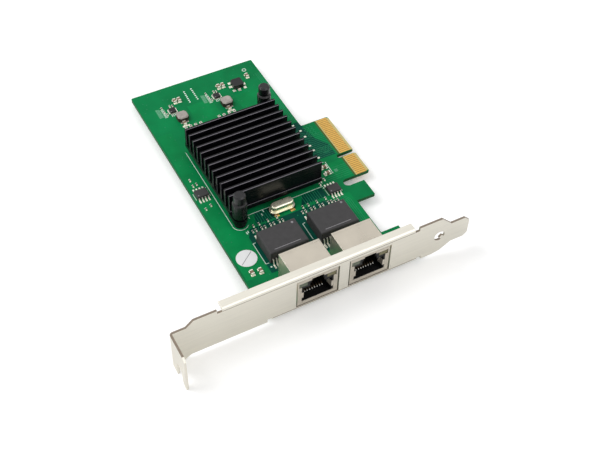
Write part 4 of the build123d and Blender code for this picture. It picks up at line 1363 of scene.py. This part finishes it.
@dataclass
class PackageMarks:
    """The plain pin-one dots and bars on the packages, and the sticker's ruled line."""

    shop: Workshop
    skin: float = 0.015
    module_top: float = 5.7
    module_dots: tuple[Pair, ...] = ((62.5, 31.4), (83.7, 31.8))
    bar_y: float = 22.6
    bar_ends: Pair = (-5.6, 5.2)
    bar_width: float = 0.3
    chip_top: float = 1.6
    chip_dot: Pair = (-1.7, -1.2)
    converter_top: float = 0.8
    converter_dot: Pair = (-2.8, 5.0)
    dot_widths: Triple = (0.95, 0.55, 0.4)
    sticker: Pair = (41.73, 27.6)
    sticker_top: float = 0.08
    rule_reach: Pair = (2.9, 2.2)
    rule_width: float = 0.22

    def build(self) -> None:
        """Print the marks."""
        shop, skin = self.shop, self.skin
        bars = [[(x + end, self.bar_y) for end in self.bar_ends] for x in JACK_XS]
        small = [(x + self.chip_dot[0], y + self.chip_dot[1]) for x, y in SMALL_CHIPS]
        flat = [(x + self.converter_dot[0], y + self.converter_dot[1]) for x, y in INDUCTORS]
        dots = [
            shop.stamp(Shape.DISC, list(places), (width, width, skin), top, sides)
            for places, width, top, sides in zip(
                (self.module_dots, small, flat), self.dot_widths,
                (self.module_top, self.chip_top, self.converter_top), (20, 12, 12),
            )
        ]
        shop.piece(
            "package_marks", "print_grey", "package_resin", *dots,
            shop.lines(bars, self.bar_width, skin, self.module_top),
        )
        (x, y), (dx, dy) = self.sticker, self.rule_reach
        rule = shop.lines([[(x - dx, y - dy), (x + dx, y + dy)]], self.rule_width, skin,
                          self.sticker_top)
        shop.piece("sticker_rule", "print_grey", "white_paper", rule)


@dataclass
class Underside:
    """The solder joints, traces and bare rings under the board."""

    shop: Workshop
    pin_y: float = 8.6
    pin_step: float = 2.54
    joint: Triple = (1.15, 1.15, -0.8)
    tab: Pair = (7.95, 11.8)
    tab_joint: Triple = (1.5, 2.6, 1.3)
    pin_ring: float = 6.4
    skin: float = 0.03
    trace_width: float = 0.2
    trace_height: float = 0.015
    trace_pitch: float = 1.5
    trace_step: float = 0.4
    jack_box: Pair = (17.4, 12.0)
    chip_box: tuple[float, float, float, float] = (64.35, 68.1, 27.0, 27.0)
    dot: Pair = (-4.6, 7.6)
    dot_width: float = 0.8

    def joints(self) -> None:
        """Build the solder joints and the rings round the push pins."""
        pins, tabs = [], []
        for x in JACK_XS:
            pins += [
                (place, self.pin_y + self.pin_step * (i % 2))
                for i, (place, _) in enumerate(centred_row(x, 0.0, WIRE_PITCH, JACK_CONTACTS))
            ]
            tabs += [(x + side * self.tab[0], self.tab[1]) for side in (-1, 1)]
        shop, ring = self.shop, (self.pin_ring, self.pin_ring, -self.skin)
        shop.piece(
            "solder_joints", "solder", "tinned_leads",
            shop.stamp(Shape.CONE, pins, self.joint, -BOARD_T, 14),
            shop.stamp(Shape.BLOB, tabs, self.tab_joint, -BOARD_T, 14),
            shop.stamp(Shape.RING, list(PIN_PLACES), ring, -BOARD_T, 32),
        )

    def traces(self) -> None:
        """Lay the traces of the lower side."""
        paths = []
        for x in JACK_XS:
            starts = centred_row(x, 12.0, WIRE_PITCH, JACK_CONTACTS)
            ends = centred_row(x, 17.0, self.trace_pitch, JACK_CONTACTS)
            for i, ((start, y), (end, bend)) in enumerate(zip(starts, ends)):
                lift = i * self.trace_step
                paths.append([(start, y), (start, 14.0), (end, bend), (end, 38.0 + lift),
                              (end + 2.0, 41.0 + lift), (end + 2.0, 52.0)])
        paths += BoardArtwork.fan((80.0, 60.6), (98.7, 60.6), 18, (1.15, 1.0))
        paths += BoardArtwork.fan((80.0, 47.6), (98.7, 47.6), 9, (1.0, 1.0))
        left = [(40.0, 60.0), (40.0, 98.0), (46.0, 106.0), (46.0, 120.0)]
        paths += copies(left, (0.9, 0.0), 7)
        paths += copies([(66.0, 90.0), (66.0, 108.0), (74.0, 118.0)], (0.9, 0.0), 6)
        height = self.trace_height
        mesh = self.shop.lines(paths, self.trace_width, height, -BOARD_T - height)
        self.shop.piece("lower_traces", "masked_copper", "board_green", mesh)

    def printing(self) -> None:
        """Print the outlines of the jacks and of the controller chip."""
        strokes = sides_of(boxed(*self.chip_box))
        for x in JACK_XS:
            strokes += sides_of(boxed(x, self.pin_y, *self.jack_box))[1:]
        dots = [(x + self.dot[0], self.dot[1]) for x in JACK_XS]
        self.shop.piece(
            "lower_print", "silk_white", "white_paper",
            self.shop.lines(strokes, self.trace_width, self.skin, -BOARD_T - self.skin),
            self.shop.stamp(
                Shape.DISC, dots, (self.dot_width, self.dot_width, -self.skin), -BOARD_T
            ),
        )

    def build(self) -> None:
        """Build all of it in order."""
        self.joints()
        self.traces()
        self.printing()


@dataclass
class Studio:
    """The camera, the pale floor, the world and the lamps."""

    picture: Pair = (600.0, 450.0)
    focal_pixels: float = 1062.709
    middle: Pair = (292.04, 222.913)
    place: Triple = (-0.167323, -0.253501, 0.305569)
    forward: Triple = (0.31515534, 0.57269206, -0.75677005)
    right: Triple = (0.88486176, -0.46557288, 0.0161727)
    sensor: float = 36.0
    clip_start: float = 0.01
    world_level: float = 0.62
    floor_half: float = 3.0
    floor_shade: float = 0.94
    floor_roughness: float = 0.9
    floor_specular: float = 0.1
    floor_lift: float = 0.17
    aim: Triple = (-0.04, 0.0, 0.0)
    lamps: tuple[tuple[str, Triple, float, float], ...] = (
        ("key_lamp", (-0.45, 0.3, 0.6), 0.5, 3.0),
        ("fill_lamp", (0.25, -0.5, 0.55), 0.6, 1.2),
    )

    def camera(self) -> None:
        """Place the camera where the picture was taken from."""
        data = bpy.data.cameras.new("picture_camera")
        camera = put("picture_camera", data)
        forward, right = Vector(self.forward), Vector(self.right)
        axes = Matrix((right, right.cross(forward), -forward)).transposed().to_4x4()
        camera.matrix_world = Matrix.Translation(self.place) @ axes
        width, height = self.picture
        data.sensor_width = self.sensor
        data.lens = self.focal_pixels * self.sensor / width
        data.shift_x = (width / 2 - self.middle[0]) / width
        data.shift_y = (self.middle[1] - height / 2) / width
        data.clip_start = self.clip_start
        bpy.context.scene.camera = camera

    def lamp(self, name: str, place: Place, size: float, power: float) -> None:
        """Hang one soft lamp that looks at the card.

        Args:
            name: Its name.
            place: Where it hangs, in metres.
            size: Its width.
            power: Its power in watts.
        """
        data = bpy.data.lights.new(name, "AREA")
        data.size = size
        data.energy = power
        lamp = put(name, data)
        lamp.location = place
        aim = Vector(self.aim) - Vector(place)
        lamp.rotation_euler = aim.to_track_quat("-Z", "Y").to_euler()

    def world(self) -> None:
        """Make the world white to the eye and in reflections, and softer as a light."""
        world = bpy.data.worlds.new("studio")
        world.use_nodes = True
        tree = world.node_tree
        rays = add(tree, "ShaderNodeLightPath").outputs
        seen = math_node(tree, "MAXIMUM", rays["Is Camera Ray"], rays["Is Glossy Ray"])
        seen = math_node(tree, "MAXIMUM", seen, rays["Is Transmission Ray"])
        level = add(
            tree, "ShaderNodeMapRange", {"To Min": self.world_level, "To Max": 1.0, "Value": seen}
        )
        feed_all(tree, tree.nodes["Background"], {
            "Color": WHITE, "Strength": level.outputs["Result"],
        })
        bpy.context.scene.world = world

    def floor(self) -> None:
        """Lay the pale floor just under the card."""
        half = self.floor_half
        low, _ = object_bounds()
        corners = [Vector((x, y, low[2])) for x, y in spanned(-half, -half, half, half)]
        mesh = made("floor", corners, [], [(0, 1, 2, 3)])
        paper = bpy.data.materials.new("floor_paper")
        paper.use_nodes = True
        tree = paper.node_tree
        seen = add(tree, "ShaderNodeLightPath").outputs["Is Camera Ray"]
        lift = math_node(tree, "MULTIPLY", seen, self.floor_lift)
        feed_all(tree, tree.nodes["Principled BSDF"], {
            "Base Color": (*(self.floor_shade,) * 3, 1.0), "Roughness": self.floor_roughness,
            "Specular IOR Level": self.floor_specular, "Emission Color": WHITE,
            "Emission Strength": lift,
        })
        mesh.materials.append(paper)
        floor = put("floor", mesh)
        floor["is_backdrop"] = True

    def build(self) -> None:
        """Set up the whole studio."""
        self.camera()
        self.world()
        self.floor()
        for lamp in self.lamps:
            self.lamp(*lamp)
        bpy.context.scene.view_settings.view_transform = "Standard"


def main() -> None:
    """Build the card's dress and the studio, and note the sizes."""
    logging.basicConfig(level=logging.INFO)
    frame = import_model()
    shop = Workshop(frame, Paintbox())
    shop.dress_nodes()
    for part in (
        BoardArtwork(shop), SolderLands(shop), HeatSinkTrim(shop), PushPinTrim(shop),
        JackTrim(shop), BracketTrim(shop), PackageMarks(shop), Underside(shop),
    ):
        LOG.info("building %s", type(part).__name__)
        part.build()
    Studio().build()


if __name__ == "__main__":
    main()
